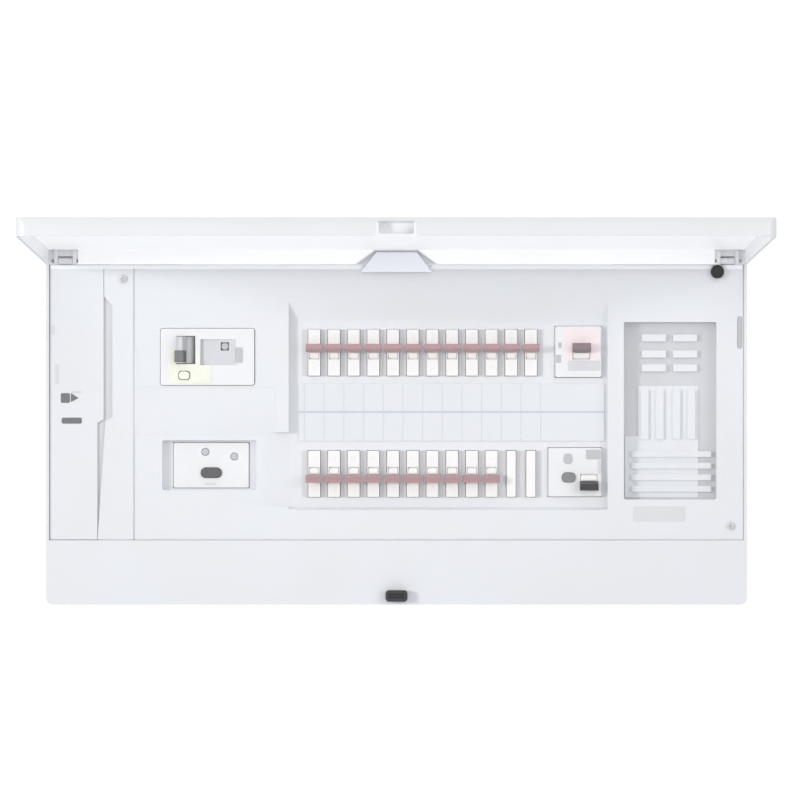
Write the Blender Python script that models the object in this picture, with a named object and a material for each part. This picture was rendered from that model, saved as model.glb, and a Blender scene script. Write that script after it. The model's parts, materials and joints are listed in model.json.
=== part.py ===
"""A wide wall-mounted breaker panel box with a top-hinged tray door, built as separate pieces.

The origin is the centre of the back face. +X is to the right seen from the front, +Z is up and the front faces -Y.
The door rests open, just past the horizontal, and every breaker rests switched on.
"""

import math

import bmesh
import bpy

MM = 0.001
GAP = 0.3 * MM  # left between two pieces that touch
X, Y, Z = 0, 1, 2

# Case
BODY_WIDTH = 604 * MM
BODY_HEIGHT = 325 * MM
BODY_DEPTH = 95 * MM
CASE_WALL = 2.5 * MM
CASE_CORNER = 6 * MM
SKIRT_BACK = 12 * MM  # the frame's skirt stops this far in front of the wall
BASE_PLATE = 3 * MM
BASE_DEPTH = 55 * MM
BASE_PLAY = 0.5 * MM  # between the base and the frame round it

# Opening in the frame's front, and the cover that fills it
OPENING_TOP = 130.6 * MM
OPENING_BOTTOM = -107 * MM
COVER_FRONT = 93 * MM
COVER_WALL = 1.8 * MM
TUB_WALL = 1.5 * MM
FLOOR_FRONT = 86 * MM  # floors of the breaker window and of the monitoring unit's window
TUB_DEPTH = 83 * MM  # the other windows' walls start here
SLOT_PLAY = 0.4 * MM  # round each nose

# Door and its hinge
DOOR_WIDTH = 603 * MM
DOOR_LENGTH = 295 * MM
DOOR_DEPTH = 15 * MM
DOOR_WALL = 2.2 * MM
DOOR_CORNER = 9 * MM
HINGE_Z = 133.5 * MM
HINGE_DEPTH = 98.8 * MM
HINGE_TO_EDGE = 1.5 * MM  # from the axis up to the shut door's top edge
HINGE_TO_RIM = 3.2 * MM  # from the axis back to the shut door's rim
DOOR_OPEN = math.radians(92.6)
HINGE_X = 285 * MM
KNUCKLE_HALF = 6 * MM
KNUCKLE_RADIUS = 2.6 * MM
PIN_RADIUS = 1.2 * MM
PIN_HOLE = 1.5 * MM
EAR_WALL = 3.2 * MM

# Breakers
MODULE = 17 * MM
FIRST_MODULE_X = -71 * MM
UPPER_MODULES = 12
LOWER_MODULES = 10
BUS_Z = 3.5 * MM
ROW_Z = {1: 54.7 * MM, -1: -49.9 * MM}  # the middles of the upper and the lower row's noses
PLATE_FRONT = 17.9 * MM
BREAKER_BACK = 18.3 * MM
BREAKER_SHOULDER = 72 * MM
BREAKER_LENGTH = 87 * MM
NOSE_WIDTH = 10.4 * MM
BLANK_WIDTH = 8 * MM
NOSE_LENGTH = 40 * MM
NOSE_FRONT = 90 * MM
POCKET_WIDTH = 8.4 * MM
POCKET_MOUTH = 11.6 * MM  # long, where the toggle's neck swings
DRUM_PLAY = 0.5 * MM

# Toggles
TOGGLE_TILT = math.radians(18)
TOGGLE_DEPTH = 82.5 * MM  # of the pivot, from the wall
DRUM_RADIUS = 8 * MM
DRUM_WIDTH = 7.8 * MM
LEVER_WIDTH = 14.5 * MM
LEVER_THICK = 6.5 * MM
LEVER_TIP = 5 * MM
LEVER_FROM = 10.2 * MM
LEVER_REACH = 17.5 * MM

# Main breaker
MAIN_X, MAIN_Z = -165 * MM, 48 * MM
MAIN_LENGTH, MAIN_HEIGHT = 96 * MM, 76 * MM
MAIN_NOSE = (-203.4 * MM, 26.6 * MM, -122.6 * MM, 75.4 * MM)  # left, bottom, right, top
MAIN_NOSE_FRONT = 94.5 * MM
MAIN_PIVOT = (-181.5 * MM, -84.5 * MM, 57 * MM)
MAIN_TILT = math.radians(18)
MAIN_DRUM_RADIUS = 7.5 * MM
MAIN_HANDLE_HEIGHT = 23 * MM
MAIN_HANDLE_REACH = 18 * MM
TEST_BUTTON = (-183 * MM, 35 * MM)
INDICATOR = (-148 * MM, 60 * MM)

# Auxiliary breakers and monitoring unit
AUX_LEFT, AUX_RIGHT = 129.3 * MM, 180 * MM
AUX_UPPER_NOSE = (137 * MM, 33.5 * MM, 177 * MM, 77.5 * MM)
AUX_LOWER_NOSE = (131 * MM, -69.5 * MM, 177 * MM, -27.5 * MM)
AUX_UPPER_HANDLE_X = 159.5 * MM
AUX_LOWER_HANDLE = (166 * MM, -56 * MM)
AUX_TEST_BUTTON = (148.5 * MM, -53 * MM)
MONITOR = (-204 * MM, -67 * MM, -120 * MM, -18 * MM)
MONITOR_NOSE = (-192.5 * MM, -62 * MM, -127.5 * MM, -23 * MM)
MONITOR_FRONT = 87.5 * MM
MONITOR_BUTTON = (-160 * MM, -49 * MM)

# Windows in the inner cover: left, bottom, right, top
BRANCH_WINDOW = (-93 * MM, -81 * MM, 182 * MM, 100 * MM)
WINDOW_RAMP = 16 * MM
BAY = (196 * MM, -72 * MM, 276 * MM, 81 * MM)
MONITOR_WINDOW = (-202 * MM, -64 * MM, -121 * MM, -21 * MM)

SLOT_FLANGE = (-262 * MM, -242 * MM)

# Fasteners and small fittings
COVER_SCREWS = ((-236 * MM, 118 * MM), (288 * MM, -95 * MM))
POST_RADIUS = 4.5 * MM
BUMPER = (276.5 * MM, 124.2 * MM)
BUMPER_RADIUS = 5.8 * MM
CATCH_Z = -154.8 * MM
PLATE_POSTS = ((-206, 98), (-206, -92), (176, 98), (176, -92))
LIMITER_POSTS = ((-262, 90), (-262, -90))
EARTH_POSTS = ((165, -135), (255, -135))
KEYHOLES = ((-272, 120), (262, 120), (-272, -130), (130, -135))


def clear_scene():
    for thing in list(bpy.data.objects):
        bpy.data.objects.remove(thing)


def plastic(name, colour, roughness=0.45, metallic=0.0, alpha=1.0):
    """A plain surface: plastic, or metal where metallic is 1."""
    made = bpy.data.materials.new(name)
    made.use_nodes = True
    shader = made.node_tree.nodes["Principled BSDF"]
    shader.inputs["Base Color"].default_value = (*colour, 1.0)
    shader.inputs["Roughness"].default_value = roughness
    shader.inputs["Metallic"].default_value = metallic
    shader.inputs["Alpha"].default_value = alpha
    return made


# Shapes. Each function adds one closed body to a bmesh.


def add_prism(mesh, outline, axis, low, high):
    """The closed outline, drawn across the axis, carried from low to high along it."""
    ends = []
    for along in (low, high):
        corners = []
        for point in outline:
            place = list(point)
            place.insert(axis, along)
            corners.append(mesh.verts.new(place))
        mesh.faces.new(corners)
        ends.append(corners)
    for i in range(len(outline)):
        j = (i + 1) % len(outline)
        mesh.faces.new((ends[0][i], ends[0][j], ends[1][j], ends[1][i]))


def add_box(mesh, x, y, z):
    """A box from three (low, high) pairs."""
    outline = [(x[0], z[0]), (x[1], z[0]), (x[1], z[1]), (x[0], z[1])]
    add_prism(mesh, outline, Y, y[0], y[1])


def add_front_box(mesh, window, back, front):
    """A box over a (left, bottom, right, top) window, from one depth behind the front to another."""
    add_box(mesh, (window[0], window[2]), (-front, -back), (window[1], window[3]))


def circle(centre, radius, sides):
    """Points of a circle, with a flat side along each axis."""
    turns = [math.tau * (i + 0.5) / sides for i in range(sides)]
    return [(centre[0] + radius * math.cos(t), centre[1] + radius * math.sin(t)) for t in turns]


def rounded(left, bottom, right, top, radii, steps=3):
    """A rectangle's outline with rounded corners: bottom left, bottom right, top right, top left."""
    centres = ((left, bottom, 1, 1), (right, bottom, -1, 1), (right, top, -1, -1), (left, top, 1, -1))
    points = []
    for corner, (x, z, inward_x, inward_z) in enumerate(centres):
        radius = radii[corner]
        start = math.pi * (1 + corner / 2)
        for i in range(steps + 1):
            turn = start + math.pi / 2 * i / steps
            across = x + inward_x * radius + radius * math.cos(turn)
            up = z + inward_z * radius + radius * math.sin(turn)
            points.append((across, up))
    return points


def grown(window, by):
    return (window[0] - by, window[1] - by, window[2] + by, window[3] + by)


# Objects


def make(name, mesh, material, place=(0, 0, 0), turn=(0, 0, 0), parent=None):
    """A named object from a bmesh whose points are given from place."""
    bmesh.ops.recalc_face_normals(mesh, faces=mesh.faces)
    data = bpy.data.meshes.new(name)
    mesh.to_mesh(data)
    mesh.free()
    return put(name, data, material, place, turn, parent)


def put(name, data, material, place, turn=(0, 0, 0), parent=None):
    thing = bpy.data.objects.new(name, data)
    thing.location = place
    thing.rotation_euler = turn
    thing.parent = parent
    if material and not data.materials:
        data.materials.append(material)
    bpy.context.scene.collection.objects.link(thing)
    return thing


def combine(body, mesh, operation, label):
    """Joins a shape to a body, or cuts it away. The shape is drawn in the body's own frame."""
    tool = make(f"{body.name}.{label}", mesh, None, body.location, body.rotation_euler, body.parent)
    tool.hide_render = True
    tool.display_type = "WIRE"
    modifier = body.modifiers.new(label, "BOOLEAN")
    modifier.operation = operation
    modifier.solver = "EXACT"
    modifier.object = tool


def join(body, mesh, label):
    combine(body, mesh, "UNION", label)


def cut(body, mesh, label):
    combine(body, mesh, "DIFFERENCE", label)


def boxes(*triples):
    mesh = bmesh.new()
    for x, y, z in triples:
        add_box(mesh, x, y, z)
    return mesh


def rods(places, axis, radius, low, high, sides=12):
    mesh = bmesh.new()
    for place in places:
        add_prism(mesh, circle(place, radius, sides), axis, low, high)
    return mesh


def module_x(index):
    return FIRST_MODULE_X + MODULE * index


def branch_nose(index, row):
    """The nose at a place in a row. The lower row's last places hold narrower blanks."""
    x, z = module_x(index), ROW_Z[row]
    half = (BLANK_WIDTH if row < 0 and index >= LOWER_MODULES else NOSE_WIDTH) / 2
    return (x - half, z - NOSE_LENGTH / 2, x + half, z + NOSE_LENGTH / 2)


def all_noses():
    """Every nose that comes through its own slot in the inner cover, blanks included."""
    noses = [branch_nose(i, row) for row in (1, -1) for i in range(UPPER_MODULES)]
    return noses + [AUX_UPPER_NOSE, AUX_LOWER_NOSE, MONITOR_NOSE]


# Case


def keyhole(mesh, x, z):
    """A round way in for the screw head, with a narrow slot above it for the shank."""
    head, shank, slot = 4.5 * MM, 2.3 * MM, 9 * MM
    points = []
    for i in range(9):
        turn = math.radians(120 + 300 * i / 8)
        points.append((x + head * math.cos(turn), z + head * math.sin(turn)))
    points += [(x + shank, z + slot), (x - shank, z + slot)]
    add_prism(mesh, points, Y, -BASE_PLATE - MM, MM)


def back_base(material):
    """The tray against the wall: posts, a partition for the limiter space, cable entries and keyholes."""
    half_x = BODY_WIDTH / 2 - CASE_WALL - BASE_PLAY
    half_z = BODY_HEIGHT / 2 - CASE_WALL - BASE_PLAY
    body = make("back_base", boxes(((-half_x, half_x), (-BASE_DEPTH, 0), (-half_z, half_z))), material)
    inner_x, inner_z = half_x - CASE_WALL, half_z - CASE_WALL
    deep = (-BASE_DEPTH - MM, -BASE_PLATE)
    partition = -226 * MM
    left = (-inner_x, partition)
    right = (partition + CASE_WALL, inner_x)
    cut(body, boxes((left, deep, (-inner_z, inner_z)), (right, deep, (-inner_z, inner_z))), "hollow")
    foot = -BASE_PLATE + MM
    low_posts = [(x * MM, z * MM) for x, z in PLATE_POSTS]
    join(body, rods(low_posts, Y, POST_RADIUS, -16 * MM, foot, 10), "plate_posts")
    short_posts = [(x * MM, z * MM) for x, z in LIMITER_POSTS + EARTH_POSTS]
    join(body, rods(short_posts, Y, POST_RADIUS, -10 * MM, foot, 10), "short_posts")
    join(body, rods(COVER_SCREWS, Y, POST_RADIUS, -COVER_FRONT + COVER_WALL + GAP, foot, 10), "posts")
    pilot_end = -COVER_FRONT + 16 * MM
    cut(body, rods(COVER_SCREWS, Y, 2 * MM, -COVER_FRONT, pilot_end, 8), "screw_holes")
    through = (-BASE_PLATE - MM, MM)
    upper = ((-190 * MM, 190 * MM), through, (118 * MM, 150 * MM))
    lower = ((-110 * MM, 110 * MM), through, (-150 * MM, -118 * MM))
    cut(body, boxes(upper, lower), "cable_entries")
    holes = bmesh.new()
    for x, z in KEYHOLES:
        keyhole(holes, x * MM, z * MM)
    cut(body, holes, "keyholes")


def outer_frame(material):
    """The white surround: a deep skirt, the fixed top strip, the bottom band and two hinge knuckles."""
    half_x, half_z = BODY_WIDTH / 2, BODY_HEIGHT / 2
    outline = rounded(-half_x, -half_z, half_x, half_z, [CASE_CORNER] * 4)
    mesh = bmesh.new()
    add_prism(mesh, outline, Y, -BODY_DEPTH, -SKIRT_BACK)
    body = make("outer_frame", mesh, material)
    inner_x, inner_z = half_x - CASE_WALL, half_z - CASE_WALL
    hollow = ((-inner_x, inner_x), (-BODY_DEPTH + CASE_WALL, 0), (-inner_z, inner_z))
    cut(body, boxes(hollow), "hollow")
    opening = ((-inner_x, inner_x), (-BODY_DEPTH - MM, -80 * MM), (OPENING_BOTTOM, OPENING_TOP))
    cut(body, boxes(opening), "opening")
    catch_hole = ((-6 * MM, 6 * MM), (-BODY_DEPTH - MM, -80 * MM), (CATCH_Z - 3 * MM, CATCH_Z + 3 * MM))
    cut(body, boxes(catch_hole), "catch_hole")
    for side in (-1, 1):
        centre = side * HINGE_X
        mesh = bmesh.new()
        low, high = centre - KNUCKLE_HALF, centre + KNUCKLE_HALF
        # One outline for the arm and the round eye at its end.
        eye = []
        for i in range(7):
            turn = math.radians(90 + 30 * i)
            across = -HINGE_DEPTH + KNUCKLE_RADIUS * math.cos(turn)
            eye.append((across, HINGE_Z + KNUCKLE_RADIUS * math.sin(turn)))
        root = -BODY_DEPTH + MM
        eye += [(root, HINGE_Z - KNUCKLE_RADIUS), (root, HINGE_Z + KNUCKLE_RADIUS)]
        add_prism(mesh, eye, X, low, high)
        join(body, mesh, f"knuckle_{side}")
        bore = rods([(-HINGE_DEPTH, HINGE_Z)], X, PIN_HOLE, low - MM, high + MM, 8)
        cut(body, bore, f"bore_{side}")


def inner_cover_outline():
    """The cover's edge. On the left it steps and tapers beside the limiter cover, which leaves a slot."""
    right = BODY_WIDTH / 2 - CASE_WALL - GAP
    top, bottom = OPENING_TOP - GAP, OPENING_BOTTOM + GAP
    left = [(-257.5, -102), (-251, -4), (-245, -1), (-245, 95), (-252.1, 103)]
    return (
        [(-252.1 * MM, top), (right, top), (right, bottom), (-257.5 * MM, bottom)]
        + [(x * MM, z * MM) for x, z in left]
    )


def window_profile(grow, front):
    """Depth and height round the breaker window: a ramp at the top, a steep wall at the bottom."""
    low, high = BRANCH_WINDOW[1] - grow, BRANCH_WINDOW[3] + grow
    floor = -FLOOR_FRONT + grow
    return [(-front, high), (floor, high - WINDOW_RAMP), (floor, low + 2 * MM), (-front, low)]


def side_ramp(grow, front):
    """Width and depth of the ramp that leads into the window's lower left."""
    left, low = BRANCH_WINDOW[0] - 19 * MM - grow, -FLOOR_FRONT + grow
    return [(left, -front), (BRANCH_WINDOW[0] + MM, -front), (BRANCH_WINDOW[0] + MM, low), (BRANCH_WINDOW[0], low)]


def inner_cover(material):
    """The thin cover over the breakers, with its sunk windows and the slots that the noses come through."""
    mesh = bmesh.new()
    add_prism(mesh, inner_cover_outline(), Y, -COVER_FRONT, -COVER_FRONT + COVER_WALL)
    body = make("inner_cover", mesh, material)
    back, front = COVER_FRONT - COVER_WALL / 2, COVER_FRONT + MM
    tub = bmesh.new()
    left, right = BRANCH_WINDOW[0] - TUB_WALL, BRANCH_WINDOW[2] + TUB_WALL
    add_prism(tub, window_profile(TUB_WALL, back), X, left, right)
    add_front_box(tub, grown(BAY, TUB_WALL), TUB_DEPTH - TUB_WALL, back)
    add_front_box(tub, grown(MAIN_NOSE, SLOT_PLAY + TUB_WALL), TUB_DEPTH, back)
    add_front_box(tub, grown(MONITOR_WINDOW, TUB_WALL), FLOOR_FRONT - TUB_WALL, back)
    join(body, tub, "tubs")
    ramp_z = (BRANCH_WINDOW[1] + 3 * MM, -14 * MM)
    ramp = bmesh.new()
    add_prism(ramp, side_ramp(TUB_WALL, back), Z, ramp_z[0] - TUB_WALL, ramp_z[1] + TUB_WALL)
    join(body, ramp, "ramp")
    hollow = bmesh.new()
    add_prism(hollow, window_profile(0, front), X, BRANCH_WINDOW[0], BRANCH_WINDOW[2])
    add_front_box(hollow, BAY, 0, front)
    add_front_box(hollow, grown(MAIN_NOSE, SLOT_PLAY), 0, front)
    add_front_box(hollow, MONITOR_WINDOW, FLOOR_FRONT, front)
    cut(body, hollow, "windows")
    ramp = bmesh.new()
    add_prism(ramp, side_ramp(0, front), Z, *ramp_z)
    cut(body, ramp, "ramp_cut")
    slots = bmesh.new()
    for nose in all_noses():
        add_front_box(slots, grown(nose, SLOT_PLAY), 0, front)
    cut(body, slots, "nose_slots")
    # A thin flange runs behind the slot beside the limiter cover.
    rise = (OPENING_BOTTOM + MM, OPENING_TOP - MM)
    web = (SLOT_FLANGE[1] - 2.5 * MM, SLOT_FLANGE[1])
    join(body, boxes((web, (-COVER_FRONT + MM, -89.4 * MM), rise)), "flange_web")
    join(body, boxes((SLOT_FLANGE, (-90.6 * MM, -89.3 * MM), (rise[0] + MM, rise[1] - MM))), "flange")
    cut(body, rods(COVER_SCREWS, Y, 2.2 * MM, -front, 0, 8), "screw_holes")
    cut(body, rods([BUMPER], Y, 2.3 * MM, -front, 0, 8), "bumper_hole")


def limiter_cover(material):
    """The plain cover over the limiter space, stepped along its right edge."""
    left = -BODY_WIDTH / 2 + CASE_WALL + GAP
    top, bottom = OPENING_TOP - GAP, OPENING_BOTTOM + GAP
    outline = [(left, bottom), (-257.8 * MM, bottom), (-257.8 * MM, -6 * MM), (-252.4 * MM, -3 * MM)]
    outline += [(-252.4 * MM, top), (left, top)]
    mesh = bmesh.new()
    add_prism(mesh, outline, Y, -COVER_FRONT, -COVER_FRONT + 2 * MM)
    make("limiter_cover", mesh, material)


def steel_plates(material):
    """The plates that the breakers and the limiter are fixed to, with turned-up edges."""
    thick = 1.6 * MM
    back = PLATE_FRONT - thick
    plate = boxes(((-215 * MM, 185 * MM), (-PLATE_FRONT, -back), (-100 * MM, 106 * MM)))
    body = make("mounting_plate", plate, material)
    flanges = boxes(
        ((-215 * MM, 185 * MM), (-26 * MM, -back - MM / 2), (104.4 * MM, 106 * MM)),
        ((-215 * MM, 185 * MM), (-26 * MM, -back - MM / 2), (-100 * MM, -98.4 * MM)),
    )
    join(body, flanges, "flanges")
    plate = boxes(((-293 * MM, -230 * MM), (-11.5 * MM, -10.3 * MM), (-105 * MM, 105 * MM)))
    body = make("limiter_plate", plate, material)
    slots = [((-262 * MM, -242 * MM), (-20 * MM, 0), (z * MM, (z + 5) * MM)) for z in (-60, -20, 15, 55)]
    cut(body, boxes(*slots), "slots")


# Door


def door(material, axis):
    """A shallow tray hung from its top edge. It is drawn shut, from its hinge axis, and its parent turns it."""
    half = DOOR_WIDTH / 2
    top, bottom = HINGE_TO_EDGE, HINGE_TO_EDGE - DOOR_LENGTH
    face, rim = HINGE_TO_RIM - DOOR_DEPTH, HINGE_TO_RIM
    corners = [DOOR_CORNER, DOOR_CORNER, 3 * MM, 3 * MM]
    mesh = bmesh.new()
    add_prism(mesh, rounded(-half, bottom, half, top, corners), Y, face, rim)
    body = make("door", mesh, material, parent=axis)
    inner = half - DOOR_WALL
    corners = [DOOR_CORNER - DOOR_WALL, DOOR_CORNER - DOOR_WALL, MM, MM]
    mesh = bmesh.new()
    outline = rounded(-inner, bottom + DOOR_WALL, inner, top - DOOR_WALL, corners)
    add_prism(mesh, outline, Y, face + DOOR_WALL, rim + MM)
    cut(body, mesh, "tray")
    # The ears' back corner is cut off, so that it swings past the bumper.
    ear = [(face + MM, top - MM), (face + MM, -3.2 * MM), (MM, -3.2 * MM), (rim - GAP, -1.3 * MM), (rim - GAP, top - MM)]
    ears = bmesh.new()
    for side in (-1, 1):
        for offset in (-1, 1):
            near = side * HINGE_X + offset * (KNUCKLE_HALF + GAP)
            add_prism(ears, ear, X, near, near + offset * EAR_WALL)
    join(body, ears, "ears")
    holes = bmesh.new()
    for side in (-1, 1):
        low, high = side * HINGE_X - 12 * MM, side * HINGE_X + 12 * MM
        add_prism(holes, circle((0, 0), PIN_HOLE, 8), X, low, high)
    cut(body, holes, "pin_holes")
    room = KNUCKLE_HALF + GAP / 2
    notches = bmesh.new()
    for side in (-1, 1):
        centre = side * HINGE_X
        add_box(notches, (centre - room, centre + room), (-4 * MM, rim + MM), (-4 * MM, top + MM))
    # The stay leaf's notch narrows towards the door's face.
    stay = [(-36 * MM, rim + MM), (36 * MM, rim + MM), (18.5 * MM, face + 3 * MM), (-18.5 * MM, face + 3 * MM)]
    add_prism(notches, stay, Z, -2 * MM, top + MM)
    add_box(notches, (-16 * MM, 16 * MM), (-8.6 * MM, rim + MM), (bottom - MM, bottom + 3 * MM))
    cut(body, notches, "notches")


def door_latch_hook(material, axis):
    """The hook inside the door's lower edge that snaps over the catch."""
    inside = HINGE_TO_RIM - DOOR_DEPTH + DOOR_WALL + GAP
    outline = [(inside, -284), (-3, -282.6), (0.5, -282.6), (0.5, -281), (-3, -278), (inside, -275)]
    outline = [(inside, z * MM) if y == inside else (y * MM, z * MM) for y, z in outline]
    mesh = bmesh.new()
    add_prism(mesh, outline, X, -14 * MM, 14 * MM)
    make("door_latch_hook", mesh, material, parent=axis)


def hinge_pins(material):
    for name, side in (("hinge_pin_left", -1), ("hinge_pin_right", 1)):
        low, high = side * HINGE_X - 10 * MM, side * HINGE_X + 10 * MM
        make(name, rods([(-HINGE_DEPTH, HINGE_Z)], X, PIN_RADIUS, low, high, 8), material)


def door_stay(material):
    """The leaf at the middle of the hinge line that grips the open door."""
    front, back = BODY_DEPTH + 2.2 * MM, BODY_DEPTH + GAP
    mesh = bmesh.new()
    outline = [(-31 * MM, 124 * MM), (31 * MM, 124 * MM), (17.5 * MM, 141.4 * MM), (-17.5 * MM, 141.4 * MM)]
    add_prism(mesh, outline, Y, -front, -back)
    make("door_stay", mesh, material)


def latch_catch(material):
    """The black catch on the bottom band, with its stem through the band."""
    front, back = 103.5 * MM, BODY_DEPTH + GAP
    outline = rounded(-9.5 * MM, CATCH_Z - 4.9 * MM, 9.5 * MM, CATCH_Z + 4.9 * MM, [3 * MM] * 4, 2)
    mesh = bmesh.new()
    add_prism(mesh, outline, Y, -front, -back)
    body = make("latch_catch", mesh, material)
    stem = ((-5.5 * MM, 5.5 * MM), (-front + MM, -89 * MM), (CATCH_Z - 2.5 * MM, CATCH_Z + 2.5 * MM))
    join(body, boxes(stem), "stem")


def stud(name, place, head_radius, head, shank_radius, shank, material, sides=16):
    """A turned head in front of the cover, from head[0] to head[1], and a thinner shank behind it."""
    mesh = bmesh.new()
    add_prism(mesh, circle(place, head_radius, sides), Y, -head[1], -head[0])
    body = make(name, mesh, material)
    join(body, rods([place], Y, shank_radius, -head[0] - MM / 2, -shank, 8), "shank")


def small_fittings(rubber, steel):
    cover = COVER_FRONT + GAP
    stud("door_bumper", BUMPER, BUMPER_RADIUS, (cover, cover + 5.5 * MM), 2 * MM, 87 * MM, rubber)
    for name, place in zip(("cover_screw_left", "cover_screw_right"), COVER_SCREWS):
        stud(name, place, 3.6 * MM, (cover, cover + 1.6 * MM), 1.6 * MM, 80 * MM, steel)


# Breakers


def toggle_pockets(body, places, width):
    """Round pockets for the toggles' drums, with a mouth for the necks, cut into noses at (x, z) places."""
    drums, mouths = bmesh.new(), bmesh.new()
    for x, z in places:
        across = (x - width / 2, x + width / 2)
        add_prism(drums, circle((-TOGGLE_DEPTH, z), DRUM_RADIUS + DRUM_PLAY, 16), X, *across)
        reach = (z - POCKET_MOUTH / 2, z + POCKET_MOUTH / 2)
        add_box(mouths, across, (-NOSE_FRONT - MM, -TOGGLE_DEPTH - 2 * MM), reach)
    cut(body, drums, "drum_pockets")
    cut(body, mouths, "pocket_mouths")


def breaker_row(name, row, modules, material):
    """The bodies of a row of one-module breakers, side by side, each with a nose and a pocket for its toggle."""
    middle = ROW_Z[row]
    left = module_x(0) - MODULE / 2
    right = module_x(modules - 1) + MODULE / 2
    half = BREAKER_LENGTH / 2
    block = boxes(((left, right), (-BREAKER_SHOULDER, -BREAKER_BACK), (middle - half, middle + half)))
    body = make(name, block, material)
    noses, seams = bmesh.new(), bmesh.new()
    for i in range(modules):
        add_front_box(noses, branch_nose(i, row), BREAKER_SHOULDER - MM, NOSE_FRONT)
    for i in range(modules - 1):
        seam = module_x(i) + MODULE / 2
        deep = (-BREAKER_SHOULDER - MM, -BREAKER_SHOULDER + 2 * MM)
        add_box(seams, (seam - GAP, seam + GAP), deep, (middle - half - MM, middle + half + MM))
    join(body, noses, "noses")
    places = [(module_x(i), middle) for i in range(modules)]
    toggle_pockets(body, places, POCKET_WIDTH)
    cut(body, seams, "seams")


def lever_mesh(name, width, drum_radius, lever_width, reach, start, thick, tip, sides=14):
    """A toggle drawn pointing forward from its pivot, with its axis along X: a drum, a neck and a bar."""
    mesh = bmesh.new()
    add_prism(mesh, circle((0, 0), drum_radius, sides), X, -width / 2, width / 2)
    shape = make(name, mesh, None)
    bar = [(-start, -thick / 2), (-reach, -tip / 2), (-reach, tip / 2), (-start, thick / 2)]
    mesh = bmesh.new()
    add_prism(mesh, bar, X, -lever_width / 2, lever_width / 2)
    join(shape, mesh, "bar")
    neck = ((-width / 2, width / 2), (-start - MM, -drum_radius / 2), (-thick * 0.42, thick * 0.42))
    join(shape, boxes(neck), "neck")
    made = bpy.data.meshes.new_from_object(shape.evaluated_get(bpy.context.evaluated_depsgraph_get()))
    for thing in [modifier.object for modifier in shape.modifiers] + [shape]:
        bpy.data.objects.remove(thing)
    made.name = name
    return made


def branch_toggles(material):
    """One toggle for each branch breaker, all from one shape. On is away from the bus bars."""
    shape = lever_mesh(
        "branch_toggle", DRUM_WIDTH, DRUM_RADIUS, LEVER_WIDTH, LEVER_REACH, LEVER_FROM, LEVER_THICK, LEVER_TIP
    )
    for label, row, modules in (("upper", 1, UPPER_MODULES), ("lower", -1, LOWER_MODULES)):
        for i in range(modules):
            place = (module_x(i), -TOGGLE_DEPTH, ROW_Z[row])
            put(f"toggle_{label}_{i + 1:02d}", shape, material, place, (-row * TOGGLE_TILT, 0, 0))


def blank_filler(material):
    """The two blank noses in the unused places of the lower row, on one carrier."""
    middle, half = ROW_Z[-1], NOSE_LENGTH / 2
    first, last = module_x(LOWER_MODULES), module_x(UPPER_MODULES - 1)
    wide = (first - MODULE / 2 + GAP, last + MODULE / 2)
    carrier = (wide, (-BREAKER_SHOULDER, -BREAKER_SHOULDER + 2.5 * MM), (middle - half, middle + half))
    body = make("blank_filler", boxes(carrier), material)
    noses = bmesh.new()
    for i in range(LOWER_MODULES, UPPER_MODULES):
        add_front_box(noses, branch_nose(i, -1), BREAKER_SHOULDER - MM, NOSE_FRONT)
    join(body, noses, "noses")
    legs = boxes((wide, (-BREAKER_SHOULDER + 2 * MM, -BREAKER_BACK), (middle - 4 * MM, middle + 4 * MM)))
    join(body, legs, "leg")


def device(name, case, nose, nose_front, shoulder, material):
    """A breaker body with a block case (left, bottom, right, top) and a raised nose."""
    mesh = bmesh.new()
    add_front_box(mesh, case, BREAKER_BACK, shoulder)
    body = make(name, mesh, material)
    mesh = bmesh.new()
    add_front_box(mesh, nose, shoulder - MM, nose_front)
    join(body, mesh, "nose")
    return body


def pocket(body, centre, width, height, depth, front, label):
    """A rectangular pocket in a nose, centred on centre."""
    x = (centre[0] - width / 2, centre[0] + width / 2)
    z = (centre[1] - height / 2, centre[1] + height / 2)
    cut(body, boxes((x, (-front - MM, -front + depth), z)), label)


def push_button(name, centre, width, height, proud, sunk, front, material):
    """A button with rounded ends, its origin on its face's centre line at the nose's front."""
    radius = min(width, height) / 2 - GAP
    outline = rounded(-width / 2, -height / 2, width / 2, height / 2, [radius] * 4, 2)
    mesh = bmesh.new()
    add_prism(mesh, outline, Y, -proud, sunk)
    make(name, mesh, material, (centre[0], -front, centre[1]))


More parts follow.
